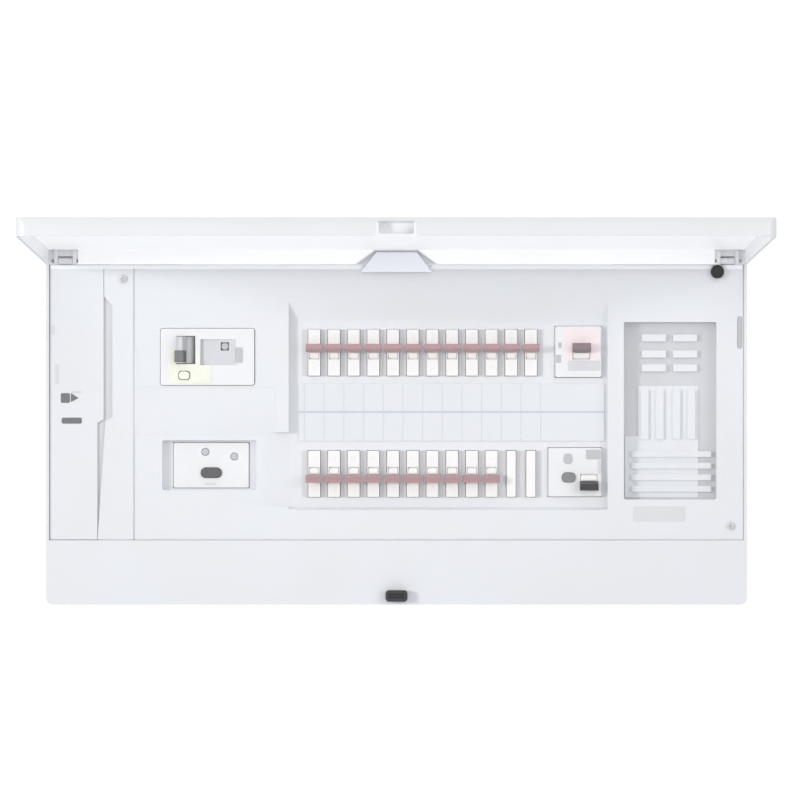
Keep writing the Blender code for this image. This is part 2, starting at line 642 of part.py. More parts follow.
def main_breaker(case, handle, test, indicator):
    """The main breaker lies on its side: its handle tips left and right."""
    half_x, half_z = MAIN_LENGTH / 2, MAIN_HEIGHT / 2
    outside = (MAIN_X - half_x, MAIN_Z - half_z, MAIN_X + half_x, MAIN_Z + half_z)
    front = MAIN_NOSE_FRONT
    body = device("main_breaker_body", outside, MAIN_NOSE, front, BREAKER_SHOULDER, case)
    room = 2 * MAIN_DRUM_RADIUS + MM
    pocket(body, (MAIN_PIVOT[X], MAIN_PIVOT[Z]), room, MAIN_HANDLE_HEIGHT + MM, 20 * MM, front, "handle_pocket")
    pocket(body, TEST_BUTTON, 10 * MM, 8 * MM, 9 * MM, front, "test_pocket")
    pocket(body, INDICATOR, 7 * MM, 7 * MM, 9 * MM, front, "indicator_pocket")
    # A sloping recess leads down to the indicator and the handle's right side.
    slope = [(-169 * MM, -front - MM), (-124.5 * MM, -front - MM), (-169 * MM, -front + 3.5 * MM)]
    mesh = bmesh.new()
    add_prism(mesh, slope, Z, 44 * MM, 66 * MM)
    cut(body, mesh, "slope")
    shape = lever_mesh(
        "main_handle", MAIN_HANDLE_HEIGHT, MAIN_DRUM_RADIUS, MAIN_HANDLE_HEIGHT, MAIN_HANDLE_REACH,
        MAIN_DRUM_RADIUS, 7 * MM, 6 * MM, 16,
    )
    # The lever's own axis is X: a quarter turn about Y stands it up, then it tips about Z.
    put("main_breaker_handle", shape, handle, MAIN_PIVOT, (0, math.pi / 2, -MAIN_TILT))
    push_button("main_test_button", TEST_BUTTON, 9 * MM, 7 * MM, 2 * MM, 6 * MM, front, test)
    push_button("main_leak_indicator", INDICATOR, 6 * MM, 6 * MM, 0, 5 * MM, front - 2 * MM, indicator)


def auxiliary_breakers(case, case_lower, handle, button):
    """Two three-module breakers at the right end of the rows."""
    half = BREAKER_LENGTH / 2
    shapes = []
    for name, row, nose in (
        ("aux_breaker_upper_body", 1, AUX_UPPER_NOSE),
        ("aux_breaker_lower_body", -1, AUX_LOWER_NOSE),
    ):
        outside = (AUX_LEFT, ROW_Z[row] - half, AUX_RIGHT, ROW_Z[row] + half)
        shapes.append(device(name, outside, nose, NOSE_FRONT, BREAKER_SHOULDER, case if row > 0 else case_lower))
    upper, lower = shapes
    lever = lever_mesh(
        "aux_handle", 14 * MM, DRUM_RADIUS, 16 * MM, LEVER_REACH, LEVER_FROM, 6.5 * MM, 6 * MM
    )
    place = (AUX_UPPER_HANDLE_X, -TOGGLE_DEPTH, ROW_Z[1])
    toggle_pockets(upper, [(place[X], place[Z])], 14.6 * MM)
    put("aux_breaker_upper_handle", lever, handle, place, (-TOGGLE_TILT, 0, 0))
    place = (AUX_LOWER_HANDLE[0], -TOGGLE_DEPTH, AUX_LOWER_HANDLE[1])
    toggle_pockets(lower, [AUX_LOWER_HANDLE], 14.6 * MM)
    put("aux_breaker_lower_handle", lever, handle, place, (TOGGLE_TILT, 0, 0))
    pocket(lower, AUX_TEST_BUTTON, 11.6 * MM, 8.6 * MM, 9 * MM, NOSE_FRONT, "test_pocket")
    push_button("aux_test_button", AUX_TEST_BUTTON, 11 * MM, 8 * MM, 2 * MM, 6 * MM, NOSE_FRONT, button)


def monitor_unit(case, button):
    """The small monitoring unit under the main breaker, with an oval button."""
    body = device("monitor_unit_body", MONITOR, MONITOR_NOSE, MONITOR_FRONT, BREAKER_SHOULDER, case)
    pocket(body, MONITOR_BUTTON, 17.8 * MM, 8.8 * MM, 9 * MM, MONITOR_FRONT, "button_pocket")
    push_button("monitor_button", MONITOR_BUTTON, 17.2 * MM, 8.2 * MM, 2 * MM, 6 * MM, MONITOR_FRONT, button)


def bus_bars(copper, insulator, brass):
    """Three flat bars behind the label strip, from the main breaker to the last module, and their support."""
    left, right = MAIN_X + MAIN_LENGTH / 2 + MM, AUX_RIGHT
    reach = (BUS_Z - 5 * MM, BUS_Z + 5 * MM)
    depths = {"bus_bar_line_1": 28 * MM, "bus_bar_neutral": 40 * MM, "bus_bar_line_2": 52 * MM}
    for name, depth in depths.items():
        make(name, boxes(((left, right), (-depth - 2 * MM, -depth), reach)), copper)
    wide = (BUS_Z - 6.8 * MM, BUS_Z + 6.8 * MM)
    body = make("bus_bar_support", boxes(((-102 * MM, -90 * MM), (-58 * MM, -BREAKER_BACK), wide)), insulator)
    grooves = []
    for depth in depths.values():
        open_end = (BUS_Z - 5 * MM - GAP, BUS_Z + 8 * MM)
        grooves.append(((-103 * MM, -89 * MM), (-depth - 2 * MM - GAP, -depth + GAP), open_end))
    cut(body, boxes(*grooves), "grooves")
    earth = boxes(((155 * MM, 265 * MM), (-18 * MM, -10.3 * MM), (-139 * MM, -131 * MM)))
    body = make("earth_terminal_bar", earth, brass)
    screws = [((165 + 12 * i) * MM, -135 * MM) for i in range(8)]
    join(body, rods(screws, Y, 2.8 * MM, -20.5 * MM, -17.5 * MM, 8), "screws")
    holes = [((165 + 12 * i) * MM, -14 * MM) for i in range(8)]
    cut(body, rods(holes, Z, 1.8 * MM, -140 * MM, -130 * MM, 8), "wire_holes")


def label_strip(paper, clear):
    """The circuit card between the rows and the clear cover that holds it, with a rib along the middle."""
    window = (-84.5 * MM, -21.5 * MM, 179.5 * MM, 28 * MM)
    mesh = bmesh.new()
    add_front_box(mesh, window, FLOOR_FRONT + GAP, FLOOR_FRONT + 0.8 * MM)
    make("label_card", mesh, paper)
    mesh = bmesh.new()
    add_front_box(mesh, window, FLOOR_FRONT + 1.1 * MM, FLOOR_FRONT + 2.3 * MM)
    body = make("label_cover", mesh, clear)
    rib = (window[0], BUS_Z - 0.9 * MM, window[2], BUS_Z + 0.9 * MM)
    mesh = bmesh.new()
    add_front_box(mesh, rib, FLOOR_FRONT + 2 * MM, FLOOR_FRONT + 3.2 * MM)
    join(body, mesh, "rib")


def accessory_bay_plate(material):
    """The plate that closes the accessory bay. Its break-out slats show as raised ribs."""
    plate = grown(BAY, 2 * MM)
    behind = TUB_DEPTH - TUB_WALL - GAP
    mesh = bmesh.new()
    add_front_box(mesh, plate, behind - 2 * MM, behind)
    body = make("accessory_bay_plate", mesh, material)
    ribs = bmesh.new()
    raised = behind + 3 * MM
    low = behind - MM
    for z in (41.5, 53.5, 67.5):
        for left, right in ((212, 233), (239, 260)):
            rib = (left * MM, (z - 3.2) * MM, right * MM, (z + 3.2) * MM)
            add_front_box(ribs, rib, low, raised)
    for x in (214.5, 227.5, 242, 255):
        add_front_box(ribs, ((x - 3.2) * MM, -20 * MM, (x + 3.2) * MM, 23 * MM), low, raised)
    for z in (-33, -43, -53, -63):
        add_front_box(ribs, (203 * MM, (z - 2.5) * MM, 272 * MM, (z + 2.5) * MM), low, raised)
    join(body, ribs, "ribs")


def main():
    clear_scene()
    white = plastic("case_white", (0.82, 0.83, 0.86), 0.42)
    door_white = plastic("door_white", (0.86, 0.87, 0.9), 0.38)
    grey = plastic("base_grey", (0.62, 0.63, 0.66), 0.5)
    breaker_white = plastic("breaker_white", (0.85, 0.83, 0.82), 0.4)
    pink = plastic("breaker_pink", (0.86, 0.7, 0.7), 0.4)
    toggle_red = plastic("toggle_red", (0.35, 0.07, 0.07), 0.4)
    dark = plastic("dark_plastic", (0.06, 0.06, 0.07), 0.35)
    black = plastic("black_rubber", (0.02, 0.02, 0.02), 0.7)
    yellow = plastic("button_yellow", (0.75, 0.7, 0.3), 0.4)
    stay_blue = plastic("stay_grey_blue", (0.55, 0.58, 0.66), 0.4)
    steel = plastic("zinc_steel", (0.6, 0.6, 0.62), 0.35, 1.0)
    copper = plastic("copper", (0.72, 0.38, 0.24), 0.3, 1.0)
    brass = plastic("brass", (0.75, 0.6, 0.3), 0.3, 1.0)
    paper = plastic("paper", (0.85, 0.88, 0.92), 0.8)
    clear = plastic("clear_plastic", (0.8, 0.88, 0.95), 0.1, 0.0, 0.35)

    back_base(grey)
    outer_frame(white)
    inner_cover(white)
    limiter_cover(white)
    steel_plates(steel)
    accessory_bay_plate(white)
    label_strip(paper, clear)
    hinge_pins(steel)
    door_stay(stay_blue)
    latch_catch(dark)
    small_fittings(black, steel)

    axis = bpy.data.objects.new("door_axis", None)
    axis.location = (0, -HINGE_DEPTH, HINGE_Z)
    axis.rotation_euler = (-DOOR_OPEN, 0, 0)
    bpy.context.scene.collection.objects.link(axis)
    door(door_white, axis)
    door_latch_hook(grey, axis)

    breaker_row("branch_breakers_upper", 1, UPPER_MODULES, breaker_white)
    breaker_row("branch_breakers_lower", -1, LOWER_MODULES, breaker_white)
    branch_toggles(toggle_red)
    blank_filler(breaker_white)
    main_breaker(breaker_white, dark, yellow, dark)
    auxiliary_breakers(pink, breaker_white, dark, dark)
    monitor_unit(breaker_white, dark)
    bus_bars(copper, grey, brass)


main()
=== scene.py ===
"""The finished look of a wall-mounted breaker panel box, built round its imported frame.

Metres, +Z up, the front faces -Y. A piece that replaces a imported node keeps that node's outer size and gets
the rounded edges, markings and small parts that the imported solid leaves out.
"""

import json
import math

import bmesh
import bpy
from mathutils import Matrix, Vector


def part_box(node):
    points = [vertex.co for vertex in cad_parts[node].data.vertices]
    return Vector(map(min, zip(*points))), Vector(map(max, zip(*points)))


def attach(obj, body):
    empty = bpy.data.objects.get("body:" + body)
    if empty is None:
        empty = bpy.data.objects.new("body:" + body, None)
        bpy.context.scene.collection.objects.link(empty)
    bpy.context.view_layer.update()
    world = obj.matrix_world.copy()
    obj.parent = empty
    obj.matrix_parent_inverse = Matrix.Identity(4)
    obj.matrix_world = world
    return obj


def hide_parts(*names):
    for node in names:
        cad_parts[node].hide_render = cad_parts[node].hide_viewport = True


MM = 0.001
GAP = 0.3 * MM
WELD = 0.002 * MM
LIFT = 0.03 * MM  # between a lining, a mark or a panel and the face it lies on
MARK_LIFT = 0.02 * MM
MARK_FACE = 0.12 * MM
X, Y, Z = 0, 1, 2

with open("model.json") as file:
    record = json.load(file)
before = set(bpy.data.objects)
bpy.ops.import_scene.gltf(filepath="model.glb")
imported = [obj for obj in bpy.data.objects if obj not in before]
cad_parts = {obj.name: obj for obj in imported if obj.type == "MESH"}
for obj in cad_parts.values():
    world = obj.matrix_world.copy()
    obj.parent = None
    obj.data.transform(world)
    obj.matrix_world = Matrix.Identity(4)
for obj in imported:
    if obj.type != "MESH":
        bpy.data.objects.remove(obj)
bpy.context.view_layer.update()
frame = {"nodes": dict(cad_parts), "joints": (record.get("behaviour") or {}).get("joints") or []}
JOINTS = {joint["name"]: joint for joint in frame["joints"]}

# Case
CASE_LOW, CASE_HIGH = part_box("outer_frame")
HALF_X, HALF_Z = CASE_HIGH.x, CASE_HIGH.z
CASE_FRONT = 95 * MM
CASE_WALL = 2.5 * MM
CASE_CORNER = 6 * MM
OPENING_TOP = 130.6 * MM
OPENING_BOTTOM = -107 * MM
COVER_FRONT = 93 * MM
COVER_WALL = 1.8 * MM
TUB_WALL = 1.5 * MM
FLOOR_FRONT = 86 * MM
TUB_DEPTH = 83 * MM
SLOT_PLAY = 0.4 * MM
SLOT_FLANGE = (-262 * MM, -242 * MM)

# Door
HINGE = Vector(JOINTS["door_hinge"]["pos_m"])
DOOR_OPEN = math.radians(JOINTS["door_hinge"]["range_deg"][1])
SHUT_DOOR = Matrix.Translation(HINGE) @ Matrix.Rotation(-DOOR_OPEN, 4, "X")
DOOR_LENGTH = 295 * MM
DOOR_DEPTH = 15 * MM
DOOR_WALL = 2.2 * MM
DOOR_CORNER = 9 * MM
HINGE_TO_EDGE = 1.5 * MM
HINGE_TO_RIM = 3.2 * MM
HINGE_X = 285 * MM
KNUCKLE_HALF = 6 * MM
KNUCKLE_RADIUS = 2.6 * MM
PIN_HOLE = 1.5 * MM
EAR_WALL = 3.2 * MM
CATCH_Z = -154.8 * MM

# Branch breakers
MODULE = 17 * MM
BUS_Z = 3.5 * MM
BREAKER_BACK = 18.3 * MM
SHOULDER = 72 * MM
BREAKER_LENGTH = 87 * MM
FIRST_MODULE_X = JOINTS["toggle_upper_01_tip"]["pos_m"][0]
ROW_Z = {row: JOINTS[f"toggle_{label}_01_tip"]["pos_m"][2] for row, label in ((1, "upper"), (-1, "lower"))}
UPPER_MODULES = 12
LOWER_MODULES = 10
NOSE_WIDTH = 10.4 * MM
BLANK_WIDTH = 8 * MM
NOSE_LENGTH = 40 * MM
NOSE_FRONT = 90 * MM
POCKET_WIDTH = 8.4 * MM
POCKET_MOUTH = 11.6 * MM
DRUM_PLAY = 0.5 * MM
TOGGLE_DEPTH = -JOINTS["toggle_upper_01_tip"]["pos_m"][1]
DRUM_RADIUS = 8 * MM
DRUM_WIDTH = 7.8 * MM
LEVER_WIDTH = 14.5 * MM
LEVER_FROM = 10.2 * MM
LEVER_REACH = 17.5 * MM
TOGGLE_TILT = math.radians(18)
NECK_HALF = 0.42  # of the bar's thickness, to each side
NECK_SEAT = 0.93  # of the drum's radius, where the neck stands on it

# Windows in the inner cover: left, bottom, right, top
BRANCH_WINDOW = (-93 * MM, -81 * MM, 182 * MM, 100 * MM)
WINDOW_RAMP = 16 * MM
BAY = (196 * MM, -72 * MM, 276 * MM, 81 * MM)
MONITOR_WINDOW = (-202 * MM, -64 * MM, -121 * MM, -21 * MM)
COVER_SCREWS = ((-236 * MM, 118 * MM), (288 * MM, -95 * MM))

# Larger devices
MAIN_NOSE = (-203.4 * MM, 26.6 * MM, -122.6 * MM, 75.4 * MM)
MAIN_FRONT = 94.5 * MM
MAIN_TILT = math.radians(18)
MONITOR_NOSE = (-192.5 * MM, -62 * MM, -127.5 * MM, -23 * MM)
MONITOR_FRONT = 87.5 * MM
AUX_UPPER_NOSE = (137 * MM, 33.5 * MM, 177 * MM, 77.5 * MM)
AUX_LOWER_NOSE = (131 * MM, -69.5 * MM, 177 * MM, -27.5 * MM)
AUX_MOUTH = 14.6 * MM
BUTTON_ROOM = 9 * MM


# Shapes. Each function adds one closed body to a bmesh.


def add_prism(mesh, outline, axis, low, high):
    ends = []
    for along in (low, high):
        corners = []
        for point in outline:
            place = list(point)
            place.insert(axis, along)
            corners.append(mesh.verts.new(place))
        mesh.faces.new(corners)
        ends.append(corners)
    for i in range(len(outline)):
        j = (i + 1) % len(outline)
        mesh.faces.new((ends[0][i], ends[0][j], ends[1][j], ends[1][i]))


def add_ring(mesh, outer, inner, axis, low, high):
    """A prism with a hole. Both outlines have the same number of points."""
    rings = []
    for outline in (outer, inner):
        for along in (low, high):
            corners = []
            for point in outline:
                place = list(point)
                place.insert(axis, along)
                corners.append(mesh.verts.new(place))
            rings.append(corners)
    for a, b in ((0, 1), (1, 3), (3, 2), (2, 0)):
        for i in range(len(outer)):
            j = (i + 1) % len(outer)
            mesh.faces.new((rings[a][i], rings[a][j], rings[b][j], rings[b][i]))


def add_box(mesh, x, y, z):
    add_prism(mesh, [(x[0], z[0]), (x[1], z[0]), (x[1], z[1]), (x[0], z[1])], Y, y[0], y[1])


def add_front_box(mesh, window, back, front, radius=0.0):
    """A block over a window, from one depth to another, with rounded corners where radius isn't 0."""
    if radius:
        add_prism(mesh, rounded(*window, [radius] * 4), Y, -front, -back)
    else:
        add_box(mesh, (window[0], window[2]), (-front, -back), (window[1], window[3]))


def turned(place, profile):
    """A body turned about a line through place (x, z) along Y. The profile is (radius, y), front first."""
    sides = 32
    mesh = bmesh.new()
    rings = []
    for radius, y in profile:
        ring = [mesh.verts.new((x, y, z)) for x, z in circle(place, radius, sides)]
        rings.append(ring)
    mesh.faces.new(rings[0])
    mesh.faces.new(rings[-1])
    for a, b in zip(rings, rings[1:]):
        for i in range(sides):
            j = (i + 1) % sides
            mesh.faces.new((a[i], a[j], b[j], b[i]))
    return mesh


def circle(centre, radius, sides=24):
    turns = [math.tau * (i + 0.5) / sides for i in range(sides)]
    return [(centre[0] + radius * math.cos(t), centre[1] + radius * math.sin(t)) for t in turns]


def rounded(left, bottom, right, top, radii, steps=5):
    """A rectangle's outline with rounded corners: bottom left, bottom right, top right, top left."""
    centres = ((left, bottom, 1, 1), (right, bottom, -1, 1), (right, top, -1, -1), (left, top, 1, -1))
    points = []
    for corner, (x, z, inward_x, inward_z) in enumerate(centres):
        radius = radii[corner]
        start = math.pi * (1 + corner / 2)
        for i in range(steps + 1):
            turn = start + math.pi / 2 * i / steps
            across = x + inward_x * radius + radius * math.cos(turn)
            points.append((across, z + inward_z * radius + radius * math.sin(turn)))
    return points


def grown(window, by):
    return (window[0] - by, window[1] - by, window[2] + by, window[3] + by)


def around(x, z, width, height):
    return (x - width / 2, z - height / 2, x + width / 2, z + height / 2)


def middle_of(node):
    """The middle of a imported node, seen from the front."""
    low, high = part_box(node)
    return ((low.x + high.x) / 2, (low.z + high.z) / 2)


def branch_nose(index, row):
    """The nose at a place in a row. The lower row's last places hold narrower blanks."""
    wide = BLANK_WIDTH if row < 0 and index >= LOWER_MODULES else NOSE_WIDTH
    return around(FIRST_MODULE_X + MODULE * index, ROW_Z[row], wide, NOSE_LENGTH)


# Objects


def shape(name, mesh):
    bmesh.ops.recalc_face_normals(mesh, faces=mesh.faces)
    data = bpy.data.meshes.new(name)
    mesh.to_mesh(data)
    mesh.free()
    thing = bpy.data.objects.new(name, data)
    bpy.context.scene.collection.objects.link(thing)
    return thing


def combine(body, mesh, operation):
    """Joins a shape to a body or cuts it away, at once."""
    tool = shape("tool", mesh)
    modifier = body.modifiers.new("combine", "BOOLEAN")
    modifier.operation = operation
    modifier.solver = "EXACT"
    modifier.object = tool
    graph = bpy.context.evaluated_depsgraph_get()
    made = bpy.data.meshes.new_from_object(body.evaluated_get(graph))
    body.modifiers.clear()
    body.data = made
    bpy.data.objects.remove(tool)


def join(body, mesh):
    combine(body, mesh, "UNION")


def cut(body, mesh):
    combine(body, mesh, "DIFFERENCE")


def prism(outline, axis, low, high):
    mesh = bmesh.new()
    add_prism(mesh, outline, axis, low, high)
    return mesh


def boxes(*triples):
    mesh = bmesh.new()
    for x, y, z in triples:
        add_box(mesh, x, y, z)
    return mesh


def fronts(windows, back, front, radius=0.0):
    mesh = bmesh.new()
    for window in windows:
        add_front_box(mesh, window, back, front, radius)
    return mesh


def rods(places, axis, radius, low, high, sides=24):
    mesh = bmesh.new()
    for place in places:
        add_prism(mesh, circle(place, radius, sides), axis, low, high)
    return mesh


def clean(thing):
    """Merges what booleans split, so that bevels run evenly."""
    mesh = bmesh.new()
    mesh.from_mesh(thing.data)
    bmesh.ops.remove_doubles(mesh, verts=mesh.verts, dist=WELD)
    bmesh.ops.dissolve_limit(mesh, angle_limit=math.radians(0.5), verts=mesh.verts, edges=mesh.edges)
    mesh.to_mesh(thing.data)
    mesh.free()


def soften(thing, edge, segments=2):
    """Rounds every sharp edge and shades the rest smooth."""
    thing.data.shade_smooth()
    modifier = thing.modifiers.new("edges", "BEVEL")
    modifier.width = edge
    modifier.segments = segments
    modifier.limit_method = "ANGLE"
    modifier.angle_limit = math.radians(35)
    modifier.harden_normals = True
    modifier.use_clamp_overlap = True


def finish(thing, body, slot, *nodes, edge=0.4 * MM, segments=2, material=None):
    """Gives a finished shape its material (the slot's, unless another is named) and its body, and hides the
    nodes it stands for.
    """
    clean(thing)
    if edge:
        soften(thing, edge, segments)
    else:
        thing.data.shade_flat()
    thing.data.materials.clear()
    thing.data.materials.append(MATERIALS[material or slot])
    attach(thing, body)
    if nodes:
        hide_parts(*nodes)
    return thing


def dress(node, slot, edge=0.3 * MM):
    """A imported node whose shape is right: a better material and softened edges."""
    thing = frame["nodes"][node]
    thing.material_slots[0].material = MATERIALS[slot]
    weld = thing.modifiers.new("weld", "WELD")
    weld.merge_threshold = WELD
    if edge:
        soften(thing, edge)


# Materials


class Surface:
    """A Principled material under construction, with its node tree's common parts."""

    def __init__(self, name, colour, roughness):
        self.name = name
        self.material = bpy.data.materials.new(name + "_finish")
        self.material.use_nodes = True
        self.tree = self.material.node_tree
        self.shader = self.tree.nodes["Principled BSDF"]
        self.shader.inputs["Base Color"].default_value = (*colour, 1)
        self.shader.inputs["Roughness"].default_value = roughness
        self.colour = colour
        self.place = self.tree.nodes.new("ShaderNodeTexCoord").outputs["Object"]

    def node(self, kind, **inputs):
        made = self.tree.nodes.new(kind)
        for name, value in inputs.items():
            self.feed(made.inputs[name.replace("_", " ")], value)
        return made

    def feed(self, socket, value):
        if isinstance(value, bpy.types.NodeSocket):
            self.tree.links.new(value, socket)
        else:
            socket.default_value = value

    def noise(self, size, detail=3.0, stretch=(1, 1, 1)):
        """Noise whose features are about size metres across."""
        where = self.place
        if stretch != (1, 1, 1):
            mapping = self.tree.nodes.new("ShaderNodeMapping")
            mapping.inputs["Scale"].default_value = stretch
            self.tree.links.new(where, mapping.inputs["Vector"])
            where = mapping.outputs["Vector"]
        made = self.node("ShaderNodeTexNoise", Vector=where, Scale=1 / size, Detail=detail)
        return made.outputs["Fac"]

    def blend(self, factor, low, high):
        """The factor mapped from low to high."""
        made = self.node("ShaderNodeMapRange", Value=factor)
        made.inputs["From Min"].default_value = 0.3
        made.inputs["From Max"].default_value = 0.7
        made.inputs["To Min"].default_value = low
        made.inputs["To Max"].default_value = high
        return made.outputs["Result"]

    def mix(self, factor, first, second):
        made = self.tree.nodes.new("ShaderNodeMix")
        made.data_type = "RGBA"
        self.feed(made.inputs["Factor"], factor)
        self.feed(made.inputs[6], first)
        self.feed(made.inputs[7], second)
        return made.outputs[2]

    def maths(self, operation, *values):
        made = self.node("ShaderNodeMath")
        made.operation = operation
        for socket, value in zip(made.inputs, values):
            self.feed(socket, value)
        return made.outputs[0]

    def drift(self, size, other, share=1.0):
        """Colour that wanders between the base colour and another over a few centimetres."""
        factor = self.blend(self.noise(size, 4.0), 0.0, share)
        mixed = self.mix(factor, (*self.colour, 1), (*other, 1))
        self.feed(self.shader.inputs["Base Color"], mixed)
        return mixed

    def vary_roughness(self, size, low, high, stretch=(1, 1, 1)):
        self.feed(self.shader.inputs["Roughness"], self.blend(self.noise(size, 4.0, stretch), low, high))

    def bump(self, size, height, strength=1.0, stretch=(1, 1, 1)):
        made = self.node("ShaderNodeBump", Height=self.noise(size, 2.0, stretch), Strength=strength)
        made.inputs["Distance"].default_value = height
        self.feed(self.shader.inputs["Normal"], made.outputs["Normal"])


def moulded(name, colour, roughness, warm, grain=0.5 * MM, height=0.02 * MM):
    """Injection-moulded plastic: fine spark-eroded grain, uneven sheen and slight yellowing."""
    surface = Surface(name, colour, roughness)
    surface.drift(70 * MM, warm)
    surface.vary_roughness(9 * MM, roughness - 0.06, roughness + 0.06)
    surface.bump(grain, height, 0.6)
    return surface


def tinted(colour, *factors):
    return tuple(channel * factor for channel, factor in zip(colour, factors))


def metal(name, colour, roughness, other, stretch):
    """Drawn or plated metal, with marks along its length."""
    surface = Surface(name, colour, roughness)
    surface.shader.inputs["Metallic"].default_value = 1.0
    surface.drift(12 * MM, other)
    surface.vary_roughness(1.2 * MM, roughness - 0.1, roughness + 0.12, stretch)
    surface.bump(0.8 * MM, 0.01 * MM, 0.5, stretch)
    return surface


def printed_card():
    """Pale blue card with ruled lines: one across the middle and one between each pair of circuits."""
    base = (0.805, 0.815, 0.84)
    surface = Surface("paper", base, 0.8)
    split = surface.node("ShaderNodeSeparateXYZ", Vector=surface.place)
    across = surface.maths("SUBTRACT", split.outputs["X"], middle_of("toggle_upper_01")[0] - MODULE / 2)
    line = surface.maths("LESS_THAN", surface.maths("PINGPONG", across, MODULE / 2), 0.45 * MM)
    # The lines between the circuits stop at the last one.
    inside = surface.maths("LESS_THAN", across, MODULE * UPPER_MODULES + MM)
    lines = surface.maths("MULTIPLY", line, inside)
    fibre = surface.blend(surface.noise(1.5 * MM, 5.0), 0.0, 0.35)
    paper = surface.mix(fibre, (*base, 1), (*tinted(base, 0.97, 0.97, 0.98), 1))
    ruled = surface.mix(lines, paper, (0.66, 0.69, 0.74, 1))
    middle = surface.maths("COMPARE", split.outputs["Z"], BUS_Z, 0.9 * MM)
    ruled = surface.mix(middle, ruled, (0.56, 0.6, 0.67, 1))
    surface.feed(surface.shader.inputs["Base Color"], ruled)
    surface.bump(0.6 * MM, 0.03 * MM, 0.5)
    return surface


def clear_plastic():
    surface = Surface("clear_plastic", (0.92, 0.94, 0.97), 0.12)
    surface.shader.inputs["Alpha"].default_value = 0.12
    surface.vary_roughness(25 * MM, 0.08, 0.2)
    surface.bump(20 * MM, 0.05 * MM, 0.3)
    return surface


CASE_COLOUR = (0.8, 0.815, 0.845)
WHITE_COLOUR = (0.93, 0.915, 0.91)


def make_materials():
    case = moulded("case_white", CASE_COLOUR, 0.42, tinted(CASE_COLOUR, 0.985, 0.98, 0.965))
    door = moulded("door_white", (0.86, 0.87, 0.89), 0.38, (0.85, 0.855, 0.865), 0.6 * MM, 0.015 * MM)
    base = moulded("base_grey", (0.6, 0.61, 0.64), 0.52, (0.57, 0.575, 0.59), 0.7 * MM, 0.04 * MM)
    white = moulded("breaker_white", WHITE_COLOUR, 0.36, tinted(WHITE_COLOUR, 0.99, 0.98, 0.96), 0.4 * MM)
    pink = moulded("breaker_pink", (0.93, 0.82, 0.83), 0.4, (0.91, 0.8, 0.81))
    red = moulded("toggle_red", (0.48, 0.31, 0.32), 0.38, (0.45, 0.29, 0.3), 0.3 * MM)
    dark = moulded("dark_plastic", (0.045, 0.045, 0.05), 0.35, (0.06, 0.058, 0.06), 0.3 * MM)
    rubber = moulded("black_rubber", (0.02, 0.02, 0.022), 0.72, (0.035, 0.034, 0.034), 0.25 * MM, 0.05 * MM)
    yellow = moulded("button_yellow", (0.9, 0.905, 0.79), 0.4, (0.88, 0.885, 0.76))
    # The stay's grey-blue is painted shade: the tone of the shaded case under the open door.
    stay = moulded("stay_grey_blue", (0.7, 0.715, 0.77), 0.4, (0.69, 0.7, 0.75))
    steel = metal("zinc_steel", (0.62, 0.63, 0.66), 0.36, (0.5, 0.51, 0.55), (1, 6, 6))
    copper = metal("copper", (0.72, 0.38, 0.24), 0.3, (0.5, 0.25, 0.17), (0.3, 6, 6))
    brass = metal("brass", (0.75, 0.6, 0.3), 0.3, (0.6, 0.45, 0.2), (0.3, 6, 6))
    all_of_them = (case, door, base, white, pink, red, dark, rubber, yellow, stay, steel, copper, brass)
    made = {surface.name: surface.material for surface in all_of_them}
    made["paper"] = printed_card().material
    made["clear_plastic"] = clear_plastic().material
    greys = {
        "print_grey": (0.2, 0.2, 0.215),
        "print_faint": (0.73, 0.74, 0.765),
        "face_white": (0.86, 0.862, 0.875),
        "bay_grey": (0.67, 0.675, 0.7),
        "light_grey": (0.56, 0.56, 0.58),
        "pale_grey": (0.7, 0.7, 0.72),
        "mid_grey": (0.26, 0.265, 0.27),
        "dark_grey": (0.13, 0.13, 0.135),
        "plum_grey": (0.26, 0.2, 0.21),
    }
    for name, colour in greys.items():
        made[name] = moulded(name, colour, 0.42, tinted(colour, 0.95, 0.95, 0.94), 0.3 * MM).material
    return made


MATERIALS = make_materials()


# Case


def knock_out(mesh, axis, centre, width, height, outside):
    """A shallow groove round a panel that can be broken out of a wall."""
    line = 0.7 * MM
    window = around(*centre, width, height)
    outer = rounded(*window, [5 * MM] * 4)
    inner = rounded(*grown(window, -line), [5 * MM - line] * 4)
    add_ring(mesh, outer, inner, axis, *sorted(outside))


